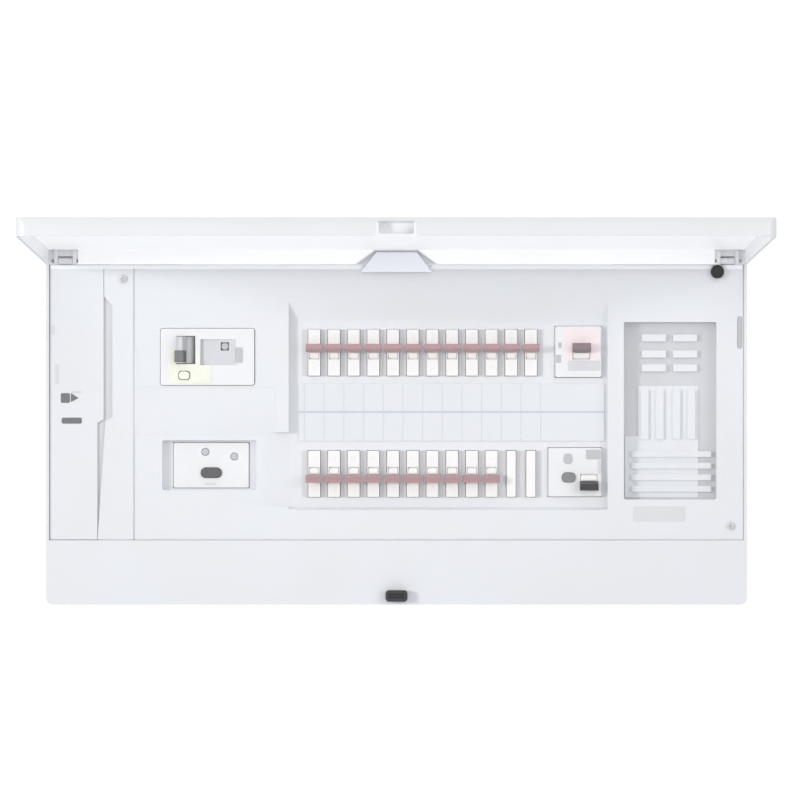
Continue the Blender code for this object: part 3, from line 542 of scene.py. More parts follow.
def outer_frame():
    outline = rounded(-HALF_X, -HALF_Z, HALF_X, HALF_Z, [CASE_CORNER] * 4, 8)
    body = shape("outer_frame_shell", prism(outline, Y, -CASE_FRONT, CASE_HIGH.y))
    inner_x, inner_z = HALF_X - CASE_WALL, HALF_Z - CASE_WALL
    inside = rounded(-inner_x, -inner_z, inner_x, inner_z, [CASE_CORNER - CASE_WALL] * 4)
    cut(body, prism(inside, Y, -CASE_FRONT + CASE_WALL, 0))
    through = (-CASE_FRONT - MM, -80 * MM)
    cut(body, boxes(((-inner_x, inner_x), through, (OPENING_BOTTOM, OPENING_TOP))))
    cut(body, boxes(((-6 * MM, 6 * MM), through, (CATCH_Z - 3 * MM, CATCH_Z + 3 * MM))))
    for side in (-1, 1):
        centre = side * HINGE_X
        eye = []
        for i in range(13):
            turn = math.radians(90 + 15 * i)
            across = HINGE.y + KNUCKLE_RADIUS * math.cos(turn)
            eye.append((across, HINGE.z + KNUCKLE_RADIUS * math.sin(turn)))
        root = -CASE_FRONT + MM
        eye += [(root, HINGE.z - KNUCKLE_RADIUS), (root, HINGE.z + KNUCKLE_RADIUS)]
        join(body, prism(eye, X, centre - KNUCKLE_HALF, centre + KNUCKLE_HALF))
        low, high = centre - KNUCKLE_HALF - MM, centre + KNUCKLE_HALF + MM
        cut(body, rods([(HINGE.y, HINGE.z)], X, PIN_HOLE, low, high, 16))
    # Break-outs for cables in the top, the bottom and the sides.
    deep = 0.6 * MM
    mesh = bmesh.new()
    for x in (-205 * MM, 0, 205 * MM):
        for top in (1, -1):
            wall = (top * (HALF_Z - deep), top * (HALF_Z + MM))
            knock_out(mesh, Z, (x, -50 * MM), 110 * MM, 34 * MM, wall)
    for side in (1, -1):
        wall = (side * (HALF_X - deep), side * (HALF_X + MM))
        knock_out(mesh, X, (-50 * MM, 0), 34 * MM, 80 * MM, wall)
    cut(body, mesh)
    finish(body, "case", "case_white", "outer_frame", edge=0.9 * MM, segments=3)


def cover_outline():
    right = HALF_X - CASE_WALL - GAP
    top, bottom = OPENING_TOP - GAP, OPENING_BOTTOM + GAP
    left = [(-257.5, -102), (-251, -4), (-245, -1), (-245, 95), (-252.1, 103)]
    points = [(-252.1 * MM, top), (right, top), (right, bottom), (-257.5 * MM, bottom)]
    return points + [(x * MM, z * MM) for x, z in left]


def window_profile(grow, front):
    low, high = BRANCH_WINDOW[1] - grow, BRANCH_WINDOW[3] + grow
    floor = -FLOOR_FRONT + grow
    return [(-front, high), (floor, high - WINDOW_RAMP), (floor, low + 2 * MM), (-front, low)]


def side_ramp(grow, front):
    left, low = BRANCH_WINDOW[0] - 19 * MM - grow, -FLOOR_FRONT + grow
    edge = BRANCH_WINDOW[0]
    return [(left, -front), (edge + MM, -front), (edge + MM, low), (edge, low)]


def inner_cover():
    body = shape("inner_cover_shell", prism(cover_outline(), Y, -COVER_FRONT, -COVER_FRONT + COVER_WALL))
    back, front = COVER_FRONT - COVER_WALL / 2, COVER_FRONT + MM
    main_window = grown(MAIN_NOSE, SLOT_PLAY)
    left, right = BRANCH_WINDOW[0] - TUB_WALL, BRANCH_WINDOW[2] + TUB_WALL
    tub = prism(window_profile(TUB_WALL, back), X, left, right)
    add_front_box(tub, grown(BAY, TUB_WALL), TUB_DEPTH - TUB_WALL, back)
    add_front_box(tub, grown(main_window, TUB_WALL), TUB_DEPTH, back)
    add_front_box(tub, grown(MONITOR_WINDOW, TUB_WALL), FLOOR_FRONT - TUB_WALL, back)
    join(body, tub)
    ramp_z = (BRANCH_WINDOW[1] + 3 * MM, -14 * MM)
    join(body, prism(side_ramp(TUB_WALL, back), Z, ramp_z[0] - TUB_WALL, ramp_z[1] + TUB_WALL))
    hollow = prism(window_profile(0, front), X, BRANCH_WINDOW[0], BRANCH_WINDOW[2])
    add_front_box(hollow, BAY, 0, front, 1.5 * MM)
    add_front_box(hollow, main_window, 0, front, 2.3 * MM)
    add_front_box(hollow, MONITOR_WINDOW, FLOOR_FRONT, front, 1.5 * MM)
    cut(body, hollow)
    cut(body, prism(side_ramp(0, front), Z, *ramp_z))
    noses = [branch_nose(i, row) for row in (1, -1) for i in range(UPPER_MODULES)]
    noses += [AUX_UPPER_NOSE, AUX_LOWER_NOSE, MONITOR_NOSE]
    cut(body, fronts([grown(nose, SLOT_PLAY) for nose in noses], 0, front))
    rise = (OPENING_BOTTOM + MM, OPENING_TOP - MM)
    web = (SLOT_FLANGE[1] - 2.5 * MM, SLOT_FLANGE[1])
    join(body, boxes((web, (-COVER_FRONT + MM, -89.4 * MM), rise)))
    join(body, boxes((SLOT_FLANGE, (-90.6 * MM, -89.3 * MM), (rise[0] + MM, rise[1] - MM))))
    cut(body, rods(COVER_SCREWS, Y, 2.2 * MM, -front, 0))
    cut(body, rods([middle_of("door_bumper")], Y, 2.3 * MM, -front, 0))
    # The area round the main breaker is sunk a little, with a groove down its left.
    groove = (-227 * MM, OPENING_BOTTOM - MM, -225.4 * MM, OPENING_TOP + MM)
    side_slot = (293.7 * MM, 58 * MM, 298.2 * MM, 86 * MM)
    slot_depth = 1.3 * MM
    cut(body, fronts([(-224 * MM, -16 * MM, -104 * MM, 25 * MM)], COVER_FRONT - 0.7 * MM, front, 2 * MM))
    cut(body, fronts([groove], COVER_FRONT - 1.1 * MM, front))
    cut(body, fronts([(-225.6 * MM, -13 * MM, -222 * MM, 57 * MM)], COVER_FRONT - MM, front, 1.5 * MM))
    cut(body, fronts([side_slot], COVER_FRONT - slot_depth, front, 1.8 * MM))
    finish(body, "case", "case_white", "inner_cover", edge=0.35 * MM)
    # Painted shade: grey pieces in the slot beside the limiter cover, between the noses and in the slot at
    # the right.
    slot = (SLOT_FLANGE[0] + MM, rise[0] + 2 * MM, SLOT_FLANGE[1] - 3 * MM, rise[1] - 2 * MM)
    mesh = fronts([slot], 90.62 * MM, 90.85 * MM)
    for row in (1, -1):
        edges = [branch_nose(0, row)[0] - 6 * MM]
        for i in range(UPPER_MODULES):
            nose = branch_nose(i, row)
            edges += [nose[0], nose[2]]
        edges.append(edges[-1] + 6 * MM)
        for left, right in zip(edges[::2], edges[1::2]):
            strip = (left + 0.6 * MM, nose[1], right - 0.6 * MM, nose[3])
            add_front_box(mesh, strip, FLOOR_FRONT + LIFT, FLOOR_FRONT + 0.3 * MM)
    finish(shape("inner_cover_painted_shade_parts", mesh), "case", "base_grey", edge=0, material="pale_grey")
    # Painted shade in the slot at the right: a light grey piece on its floor.
    inside = (294.2 * MM, 58.6 * MM, 297.7 * MM, 85.4 * MM)
    mesh = fronts([inside], COVER_FRONT - slot_depth + LIFT, COVER_FRONT - 0.9 * MM, 1.4 * MM)
    finish(shape("inner_cover_side_slot_painted_shade", mesh), "case", "base_grey", edge=0, material="light_grey")
    mark = (204 * MM, -91 * MM, 249 * MM, -78 * MM)
    mesh = fronts([mark], COVER_FRONT + MARK_LIFT, COVER_FRONT + MARK_FACE, MM)
    finish(shape("inner_cover_faint_mark", mesh), "case", "case_white", edge=0, material="print_faint")


def inner_cover_top_lip():
    """The cover's top edge stands up a little below the hinge line."""
    lip = (-298.5 * MM, 126.8 * MM, 298.5 * MM, OPENING_TOP - 0.5 * MM)
    body = shape("inner_cover_top_lip", fronts([lip], COVER_FRONT + MARK_LIFT, COVER_FRONT + 0.22 * MM))
    low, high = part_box("door_bumper")
    room = (high.x - low.x) / 2 + GAP
    cut(body, rods([middle_of("door_bumper")], Y, room, -COVER_FRONT - MM, 0, 48))
    finish(body, "case", "case_white", edge=0)
    return body


def limiter_cover():
    low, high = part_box("limiter_cover")
    jog = -257.8 * MM
    outline = [(low.x, low.z), (jog, low.z), (jog, -6 * MM), (high.x, -3 * MM)]
    outline += [(high.x, high.z), (low.x, high.z)]
    body = shape("limiter_cover_plate", prism(outline, Y, low.y, high.y))
    finish(body, "case", "case_white", "limiter_cover", edge=0.5 * MM)
    # Plain marks stand where a real cover carries a printed sign.
    face = -low.y + MARK_LIFT
    printed = -low.y + MARK_FACE
    mesh = fronts([around(-285.5 * MM, 15.5 * MM, 8 * MM, 8.5 * MM)], face, printed, 1.5 * MM)
    wedge = [(-280.8 * MM, 19.8 * MM), (-280.8 * MM, 12 * MM), (-274 * MM, 15.5 * MM)]
    add_prism(mesh, wedge, Y, -printed, -face)
    add_front_box(mesh, around(-280 * MM, -4 * MM, 17.5 * MM, 5.2 * MM), face, printed, 1.5 * MM)
    finish(shape("limiter_cover_marks", mesh), "case", "dark_plastic", edge=0, material="print_grey")
    mesh = fronts([around(-292.5 * MM, 36 * MM, 3.5 * MM, 17 * MM)], face, printed, 1.2 * MM)
    add_front_box(mesh, around(-296.3 * MM, 74 * MM, 3.6 * MM, 8 * MM), face, printed, 1.2 * MM)
    add_front_box(mesh, around(-276 * MM, 20.5 * MM, 9 * MM, 2.2 * MM), face, printed, 0.8 * MM)
    finish(shape("limiter_cover_faint_marks", mesh), "case", "case_white", edge=0, material="print_faint")


def accessory_bay_plate():
    behind = TUB_DEPTH - TUB_WALL - GAP
    floor = shape("accessory_bay_floor", fronts([grown(BAY, 2 * MM)], behind - 2 * MM, behind))
    finish(floor, "case", "case_white", "accessory_bay_plate", edge=0, material="bay_grey")
    low, raised = behind + LIFT, behind + 3 * MM
    panel, step = (209 * MM, -70.5 * MM, 261 * MM, 26 * MM), (197.5 * MM, -70.5 * MM, 209.6 * MM, -17.5 * MM)
    body = shape("accessory_bay_ribs", fronts([panel], low, behind + 0.8 * MM, MM))
    join(body, fronts([step], low, behind + 0.7 * MM, MM))
    windows = []
    for x in (214.5, 227.5, 242, 255):
        windows.append(((x - 3.2) * MM, -20 * MM, (x + 3.2) * MM, 23 * MM))
    for z in (-33, -43, -53, -63):
        windows.append((203 * MM, (z - 2.5) * MM, 272 * MM, (z + 2.5) * MM))
    join(body, fronts(windows, low + 0.2 * MM, raised, 0.8 * MM))
    finish(body, "case", "case_white", "accessory_bay_plate", edge=0.4 * MM)
    windows = []
    for z in (41.5, 53.5, 67.5):
        for left, right in ((212, 233), (239, 260)):
            windows.append((left * MM, (z - 3.2) * MM, right * MM, (z + 3.2) * MM))
    mesh = fronts(windows, low, raised, 0.8 * MM)
    finish(shape("accessory_bay_pads", mesh), "case", "case_white", "accessory_bay_plate", edge=0.4 * MM)


def label_strip():
    dress("label_card", "paper", 0)
    low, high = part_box("label_cover")
    floor, front = -high.y, -low.y
    window = (low.x, low.z, high.x, high.z)
    body = shape("label_cover_clear", fronts([window], floor, floor + 1.2 * MM, 1.5 * MM))
    join(body, fronts([(low.x, BUS_Z - 0.9 * MM, high.x, BUS_Z + 0.9 * MM)], floor + MM, front))
    finish(body, "case", "clear_plastic", "label_cover", edge=0.25 * MM)


def screw(name, node):
    """A pan head with a cross recess, and its shank."""
    low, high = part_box(node)
    place = middle_of(node)
    radius, shank = (high.x - low.x) / 2, 1.6 * MM
    front, back = low.y, high.y
    profile = [(radius * 0.55, front), (radius * 0.85, front + 0.25 * MM), (radius, front + 0.8 * MM)]
    profile += [(radius, front + 1.55 * MM), (shank, front + 1.6 * MM), (shank, back - MM), (0.6 * MM, back)]
    body = shape(name, turned(place, profile))
    arm, wide = radius * 0.62, 0.45 * MM
    depth = (front - MM, front + 1.1 * MM)
    for across, up in ((arm, wide), (wide, arm)):
        cut(body, boxes(((place[0] - across, place[0] + across), depth, (place[1] - up, place[1] + up))))
    finish(body, "case", "zinc_steel", node, edge=0.12 * MM, material="pale_grey")


def small_fittings():
    screw("cover_screw_upper", "cover_screw_left")
    screw("cover_screw_lower", "cover_screw_right")
    low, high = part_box("door_bumper")
    radius = (high.x - low.x) / 2
    front, back = low.y, -COVER_FRONT - GAP
    profile = [(radius * 0.35, front), (radius * 0.7, front + 0.35 * MM), (radius * 0.92, front + 1.3 * MM)]
    profile += [(radius, front + 2.6 * MM), (radius, back), (2 * MM, back + 0.02 * MM), (2 * MM, high.y)]
    dome = shape("bumper_dome", turned(middle_of("door_bumper"), profile))
    finish(dome, "case", "black_rubber", "door_bumper", edge=0)
    low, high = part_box("latch_catch")
    front, back = -low.y, CASE_FRONT + GAP
    middle = (low.z + high.z) / 2
    body = shape("catch_block", fronts([(low.x, low.z, high.x, high.z)], back, front, 3 * MM))
    tail = (middle - 2.5 * MM, middle + 2.5 * MM)
    join(body, boxes(((-5.5 * MM, 5.5 * MM), (-front + MM, high.y), tail)))
    mouth = (middle - 1.6 * MM, middle + 1.6 * MM)
    cut(body, boxes(((-6.5 * MM, 6.5 * MM), (-front - MM, -front + 2 * MM), mouth)))
    finish(body, "case", "dark_plastic", "latch_catch", edge=0.6 * MM, segments=3)
    # The stay leaf's colour is painted shade.
    low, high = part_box("door_stay")
    leaf = [(low.x, low.z), (high.x, low.z), (17.5 * MM, high.z), (-17.5 * MM, high.z)]
    body = shape("stay_leaf", prism(leaf, Y, low.y, high.y))
    finish(body, "case", "stay_grey_blue", "door_stay", edge=0.4 * MM)
    return body


def back_and_inside():
    dress("back_base", "base_grey", 0.4 * MM)
    dress("mounting_plate", "zinc_steel")
    dress("limiter_plate", "zinc_steel")
    dress("bus_bar_support", "base_grey")
    dress("earth_terminal_bar", "brass", 0.2 * MM)
    for node in ("bus_bar_line_1", "bus_bar_neutral", "bus_bar_line_2"):
        dress(node, "copper")
    for node in ("hinge_pin_left", "hinge_pin_right"):
        dress(node, "zinc_steel", 0.2 * MM)


# Door


def door():
    """Drawn shut, from the hinge axis, and then turned open."""
    low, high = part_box("door")
    half = (high.x - low.x) / 2
    top, bottom = HINGE_TO_EDGE, HINGE_TO_EDGE - DOOR_LENGTH
    face, rim = HINGE_TO_RIM - DOOR_DEPTH, HINGE_TO_RIM
    corners = [DOOR_CORNER, DOOR_CORNER, 3 * MM, 3 * MM]
    body = shape("door_tray", prism(rounded(-half, bottom, half, top, corners, 8), Y, face, rim))
    inner = half - DOOR_WALL
    corners = [DOOR_CORNER - DOOR_WALL, DOOR_CORNER - DOOR_WALL, MM, MM]
    outline = rounded(-inner, bottom + DOOR_WALL, inner, top - DOOR_WALL, corners, 8)
    cut(body, prism(outline, Y, face + DOOR_WALL, rim + MM))
    ear = [(face + MM, top - MM), (face + MM, -3.2 * MM), (MM, -3.2 * MM)]
    ear += [(rim - GAP, -1.3 * MM), (rim - GAP, top - MM)]
    ears = bmesh.new()
    for side in (-1, 1):
        for offset in (-1, 1):
            near = side * HINGE_X + offset * (KNUCKLE_HALF + GAP)
            add_prism(ears, ear, X, near, near + offset * EAR_WALL)
    join(body, ears)
    holes = bmesh.new()
    for side in (-1, 1):
        centre = side * HINGE_X
        add_prism(holes, circle((0, 0), PIN_HOLE, 16), X, centre - 12 * MM, centre + 12 * MM)
    cut(body, holes)
    room = KNUCKLE_HALF + GAP / 2
    notches = bmesh.new()
    for side in (-1, 1):
        centre = side * HINGE_X
        add_box(notches, (centre - room, centre + room), (-4 * MM, rim + MM), (-4 * MM, top + MM))
    wide, narrow = 36 * MM, 18.5 * MM
    stay = [(-wide, rim + MM), (wide, rim + MM), (narrow, face + 3 * MM), (-narrow, face + 3 * MM)]
    add_prism(notches, stay, Z, -2 * MM, top + MM)
    add_box(notches, (-16 * MM, 16 * MM), (-8.6 * MM, rim + MM), (bottom - MM, bottom + 3 * MM))
    cut(body, notches)
    # The lower edge is chamfered on the outer face.
    slope_end = face + 5.76 * MM
    slope = [(face - MM, bottom - MM), (face - MM, bottom + 3.02 * MM)]
    slope += [(slope_end, bottom - 0.5 * MM), (slope_end, bottom - MM)]
    cut(body, prism(slope, X, -half - MM, half + MM))
    body.matrix_world = SHUT_DOOR
    finish(body, "door", "door_white", "door", edge=0.8 * MM, segments=3)
    # A thin skin lines the inside of the tray: the panel, the wall along the hinges and the two ends.
    skin, hinge_room = 0.3 * MM, 11 * MM
    floor, wall = face + DOOR_WALL + LIFT, top - DOOR_WALL - LIFT
    low, edge = bottom + DOOR_WALL + LIFT, inner - LIFT
    panel, through = (floor, floor + skin), (floor - MM, rim)
    body = shape("door_lining", boxes(((-inner + DOOR_CORNER, inner - DOOR_CORNER), panel, (low, wall))))
    join(body, boxes(((-edge, edge), panel, (low + DOOR_CORNER, wall - MM))))
    cut(body, boxes(((-15 * MM, 15 * MM), through, (-286 * MM, -273 * MM))))
    cut(body, boxes(((-19.4 * MM, 19.4 * MM), through, (-3 * MM, top))))
    start, end = floor + skin / 2, rim - skin
    for side in (-1, 1):
        hinge = (side * HINGE_X - hinge_room, side * HINGE_X + hinge_room)
        cut(body, boxes((hinge, through, (-6 * MM, top))))
        outline = [(HINGE_X - hinge_room, start), (19.6 * MM, start), (19.6 * MM, face + 3 * MM)]
        outline += [(36.4 * MM, end), (HINGE_X - hinge_room, end)]
        join(body, prism([(side * x, y) for x, y in outline], Z, wall - skin, wall))
        ends = sorted((side * edge, side * (edge - skin)))
        join(body, boxes((ends, (start, end), (low + DOOR_CORNER, -8 * MM))))
    body.matrix_world = SHUT_DOOR
    finish(body, "door", "door_white", edge=0)
    dress("door_latch_hook", "door_white")
    return body


# Breakers


def lever_bar(name, width, neck, reach, start, thick, tip, drum):
    """A lever's bar and neck, pointing forward from its axle along X, with a hollowed tip."""
    half = thick * NECK_HALF
    body = shape(name, boxes(((-neck / 2, neck / 2), (-start - MM, -drum * NECK_SEAT), (-half, half))))
    bar = [(-start, -thick / 2), (-start, thick / 2)]
    hollow = 0.35 * MM
    for i in range(7):
        share = i / 6
        across = tip / 2 * (1 - 2 * share)
        bar.append((-reach + hollow * (1 - (2 * share - 1) ** 2), across))
    join(body, prism(bar, X, -width / 2, width / 2))
    return body


def lever_drum(name, width, radius, neck, thick):
    """The barrel that a lever turns with, notched where the lever's neck stands on it."""
    body = shape(name, prism(circle((0, 0), radius, 48), X, -width / 2, width / 2))
    play = 0.1 * MM
    across, half = neck / 2 + play, thick * NECK_HALF + play
    cut(body, boxes(((-across, across), (-radius - MM, -radius * NECK_SEAT + play), (-half, half))))
    return body


def place_on_joint(thing, name, joint, node, slot, turn, edge=0.5 * MM, material=None):
    """Stands a part of a lever on its joint's axis at its rest angle."""
    thing.name = name
    thing.matrix_world = Matrix.Translation(JOINTS[joint]["pos_m"]) @ turn
    finish(thing, JOINTS[joint]["child"], slot, node, edge=edge, material=material)


def twin(pattern):
    made = pattern.copy()
    made.data = pattern.data.copy()
    bpy.context.scene.collection.objects.link(made)
    return made


def toggle_pocket(body, x, z, width):
    """A round pocket for a toggle's drum, with a mouth for its neck, cut into a nose."""
    across = (x - width / 2, x + width / 2)
    cut(body, prism(circle((-TOGGLE_DEPTH, z), DRUM_RADIUS + DRUM_PLAY, 48), X, *across))
    reach = (z - POCKET_MOUTH / 2, z + POCKET_MOUTH / 2)
    cut(body, boxes((across, (-NOSE_FRONT - MM, -TOGGLE_DEPTH - 2 * MM), reach)))


def branch_breaker_shape():
    """One module for the upper row, drawn about the middle of its nose."""
    half = MODULE / 2 - GAP / 2
    reach = BREAKER_LENGTH / 2
    side = [(-SHOULDER, -reach + 2 * MM), (-SHOULDER, reach - 9 * MM), (-SHOULDER + 3 * MM, reach - 9 * MM)]
    side += [(-SHOULDER + 3 * MM, reach), (-BREAKER_BACK, reach), (-BREAKER_BACK, -reach)]
    side.append((-SHOULDER + 2 * MM, -reach))
    body = shape("branch_breaker", prism(side, X, -half, half))
    join(body, fronts([around(0, 0, NOSE_WIDTH, NOSE_LENGTH)], SHOULDER - MM, NOSE_FRONT))
    toggle_pocket(body, 0, 0, POCKET_WIDTH)
    cut(body, rods([(0, reach - 15 * MM)], Y, 3.4 * MM, -SHOULDER - MM, -SHOULDER + 4 * MM))
    # Plain raised bar for on, and a sunk ring for off.
    sign = 13.5 * MM
    join(body, fronts([around(0, sign, MM, 3.4 * MM)], NOSE_FRONT - MM, NOSE_FRONT + 0.25 * MM))
    mesh = bmesh.new()
    outer, inner = circle((0, -sign), 1.9 * MM), circle((0, -sign), 1.3 * MM)
    add_ring(mesh, outer, inner, Y, -NOSE_FRONT - MM, -NOSE_FRONT + 0.3 * MM)
    cut(body, mesh)
    return body


def branch_rows():
    pattern = branch_breaker_shape()
    neck, thick, tip = 6.4 * MM, 6.5 * MM, 4.4 * MM
    bar = lever_bar("bar", LEVER_WIDTH, neck, LEVER_REACH, LEVER_FROM, thick - 0.6 * MM, tip, DRUM_RADIUS)
    drum = lever_drum("drum", DRUM_WIDTH, DRUM_RADIUS, neck, thick)
    for label, row, count in (("upper", 1, UPPER_MODULES), ("lower", -1, LOWER_MODULES)):
        facing = Matrix.Identity(4) if row > 0 else Matrix.Rotation(math.pi, 4, "Y")
        turn = Matrix.Rotation(-row * TOGGLE_TILT, 4, "X")
        for i in range(count):
            place = f"{label}_{i + 1:02d}"
            node = "toggle_" + place
            joint = node + "_tip"
            pivot = JOINTS[joint]["pos_m"]
            body = twin(pattern)
            body.name = "branch_breaker_" + place
            body.matrix_world = Matrix.Translation((pivot[0], 0, pivot[2])) @ facing
            finish(body, "case", "breaker_white", f"branch_breakers_{label}", edge=0.45 * MM)
            place_on_joint(twin(bar), "lever_" + place, joint, node, "toggle_red", turn)
            place_on_joint(twin(drum), "drum_" + place, joint, node, "breaker_white", turn, 0.3 * MM)
    for thing in (pattern, bar, drum):
        bpy.data.objects.remove(thing)


def blank_filler():
    low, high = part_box("blank_filler")
    middle = (low.z + high.z) / 2
    reach = (low.z, high.z)
    body = shape("blank_filler_noses", boxes(((low.x, high.x), (-SHOULDER, -SHOULDER + 2.5 * MM), reach)))
    noses = [branch_nose(i, -1) for i in range(LOWER_MODULES, UPPER_MODULES)]
    join(body, fronts(noses, SHOULDER - MM, NOSE_FRONT))
    leg = ((low.x, high.x), (-SHOULDER + 2 * MM, high.y), (middle - 4 * MM, middle + 4 * MM))
    join(body, boxes(leg))
    finish(body, "case", "breaker_white", "blank_filler", edge=0.5 * MM)


def device(name, node, nose, front, radius=1.2 * MM):
    """A large breaker's block case, with its raised nose."""
    low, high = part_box(node)
    body = shape(name, boxes(((low.x, high.x), (-SHOULDER, high.y), (low.z, high.z))))
    join(body, fronts([nose], SHOULDER - MM, front, radius))
    return body


def pocket(body, window, depth, front, radius=0.0):
    cut(body, fronts([window], front - depth, front + MM, radius))


def button(name, node, slot, radius, look=None):
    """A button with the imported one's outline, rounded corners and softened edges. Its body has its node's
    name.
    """
    low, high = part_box(node)
    window = (low.x, low.z, high.x, high.z)
    thing = shape(name, fronts([window], -high.y, -low.y, radius))
    finish(thing, node, slot, node, edge=0.5 * MM, segments=3, material=look)


def main_breaker():
    body = device("main_breaker_case", "main_breaker_body", MAIN_NOSE, MAIN_FRONT, 2 * MM)
    pivot = Vector(JOINTS["main_handle_tip"]["pos_m"])
    handle_low, handle_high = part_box("main_breaker_handle")
    drum, height = 7.5 * MM, handle_high.z - handle_low.z
    opening = around(pivot.x, pivot.z, 2 * drum + MM, height + MM)
    pocket(body, opening, 20 * MM, MAIN_FRONT)
    test_room = around(*middle_of("main_test_button"), 10 * MM, 8 * MM)
    pocket(body, test_room, BUTTON_ROOM, MAIN_FRONT, 2.5 * MM)
    light_room = around(*middle_of("main_leak_indicator"), 7 * MM, 7 * MM)
    pocket(body, light_room, BUTTON_ROOM, MAIN_FRONT)
    far, near, deep = -169 * MM, -124.5 * MM, 3.5 * MM
    wedge = [(far, -MAIN_FRONT - MM), (near, -MAIN_FRONT - MM), (far, -MAIN_FRONT + deep)]
    cut(body, prism(wedge, Z, 44 * MM, 66 * MM))
    finish(body, "case", "breaker_white", "main_breaker_body", edge=0.5 * MM, material="face_white")
    # Painted shade: the recess has a grey lining, open round the indicator, with a darker strip at its
    # shallow end.
    rise = (deep + MM) / (near - far)
    painted_shade_parts = {
        "lining": (far + 0.5 * MM, -139 * MM, 44.5 * MM, 65.5 * MM, "bay_grey"),
        "strip": (-138.6 * MM, -133 * MM, 46 * MM, 59 * MM, "light_grey"),
    }
    for label, (start, end, bottom, top, look) in painted_shade_parts.items():
        outline = []
        for x, lift in ((start, 0.1), (end, 0.1), (end, 0.4), (start, 0.4)):
            outline.append((x, -MAIN_FRONT + deep - rise * (x - far) - lift * MM))
        plate = shape(f"main_breaker_recess_painted_shade_{label}", prism(outline, Z, bottom, top))
        cut(plate, fronts([light_room], 0, MAIN_FRONT + MM))
        finish(plate, "case", "base_grey", edge=0, material=look)
    # A yellow plate runs round the lower half of the handle and the test button.
    face = MAIN_FRONT + LIFT
    mesh = fronts([(-196.5 * MM, 28.5 * MM, -160 * MM, 57 * MM)], face, face + 0.37 * MM, 1.5 * MM)
    plate = shape("main_breaker_yellow_plate", mesh)
    cut(plate, fronts([grown(opening, 0.5 * MM)], 0, MAIN_FRONT + MM))
    cut(plate, fronts([test_room], 0, MAIN_FRONT + MM, 2.5 * MM))
    cut(plate, fronts([(-169.4 * MM, 43.6 * MM, -150 * MM, 60 * MM)], 0, MAIN_FRONT + MM))
    finish(plate, "case", "button_yellow", edge=0.1 * MM)
    turn = Matrix.Rotation(-MAIN_TILT, 4, "Z") @ Matrix.Rotation(math.pi / 2, 4, "Y")
    reach, thick, tip = 18 * MM, 7 * MM, 6 * MM
    joint, node = "main_handle_tip", "main_breaker_handle"
    bar = lever_bar("bar", height, height - MM, reach, drum + 0.6 * MM, thick, tip, drum)
    place_on_joint(bar, "main_breaker_lever", joint, node, "base_grey", turn, 0.6 * MM, "light_grey")
    barrel = lever_drum("barrel", height, drum, height - MM, thick)
    place_on_joint(barrel, "main_breaker_barrel", joint, node, "base_grey", turn, 0.4 * MM, "pale_grey")
    # Painted shade: a dark sleeve round the lower half of the bar stands for the shade below the handle. The
    # lever's own X points down.
    along = (0.5 * MM, height / 2 - 0.8 * MM)
    lower_half_painted_shade = shape("lower_half_painted_shade", boxes((along, (-reach - 0.25 * MM, -reach + 6.4 * MM), (-4.4 * MM, 4.4 * MM))))
    place_on_joint(lower_half_painted_shade, "main_breaker_lower_half_painted_shade", joint, node, "dark_plastic", turn, 0.6 * MM, "dark_grey")
    button("main_breaker_test", "main_test_button", "button_yellow", 2.6 * MM)
    button("main_breaker_leak_light", "main_leak_indicator", "dark_plastic", 2.4 * MM, "light_grey")


def monitor_unit():
    body = device("monitor_unit_case", "monitor_unit_body", MONITOR_NOSE, MONITOR_FRONT)
    room = around(*middle_of("monitor_button"), 17.8 * MM, 8.8 * MM)
    pocket(body, room, BUTTON_ROOM, MONITOR_FRONT, 4.2 * MM)
    lamps = ((-165 * MM, -31 * MM), (-140 * MM, -35 * MM))
    cut(body, rods(lamps, Y, 3.4 * MM, -MONITOR_FRONT - MM, -MONITOR_FRONT + 1.5 * MM))
    finish(body, "case", "breaker_white", "monitor_unit_body", edge=0.5 * MM, material="face_white")
    for i, place in enumerate(lamps):
        front = -MONITOR_FRONT - 0.4 * MM
        profile = [(1.2 * MM, front), (2.2 * MM, front + 0.15 * MM)]
        profile += [(2.9 * MM, front + 0.5 * MM), (3.1 * MM, front + 1.7 * MM)]
        lens = shape(f"monitor_lamp_{i + 1}", turned(place, profile))
        finish(lens, "case", "base_grey", edge=0, material="light_grey")
    mark = around(-160.5 * MM, -58.5 * MM, 10 * MM, 2.2 * MM)
    mesh = fronts([mark], MONITOR_FRONT + LIFT, MONITOR_FRONT + 0.2 * MM, MM)
    finish(shape("monitor_mark", mesh), "case", "case_white", edge=0, material="print_faint")
    button("monitor_oval_button", "monitor_button", "dark_plastic", 4 * MM, "dark_grey")


def auxiliary_lever(label, node, look, turn):
    """A wide lever and its barrel."""
    neck, thick = 12 * MM, 6.5 * MM
    joint = f"aux_{label}_handle_tip"
    bar = lever_bar("bar", 16 * MM, neck, LEVER_REACH, LEVER_FROM, thick, 6 * MM, DRUM_RADIUS)
    place_on_joint(bar, f"aux_{label}_lever", joint, node, "dark_plastic", turn, 0.5 * MM, look)
    barrel = lever_drum("barrel", 14 * MM, DRUM_RADIUS, neck, thick)
    place_on_joint(barrel, f"aux_{label}_barrel", joint, node, "breaker_white", turn, 0.4 * MM)


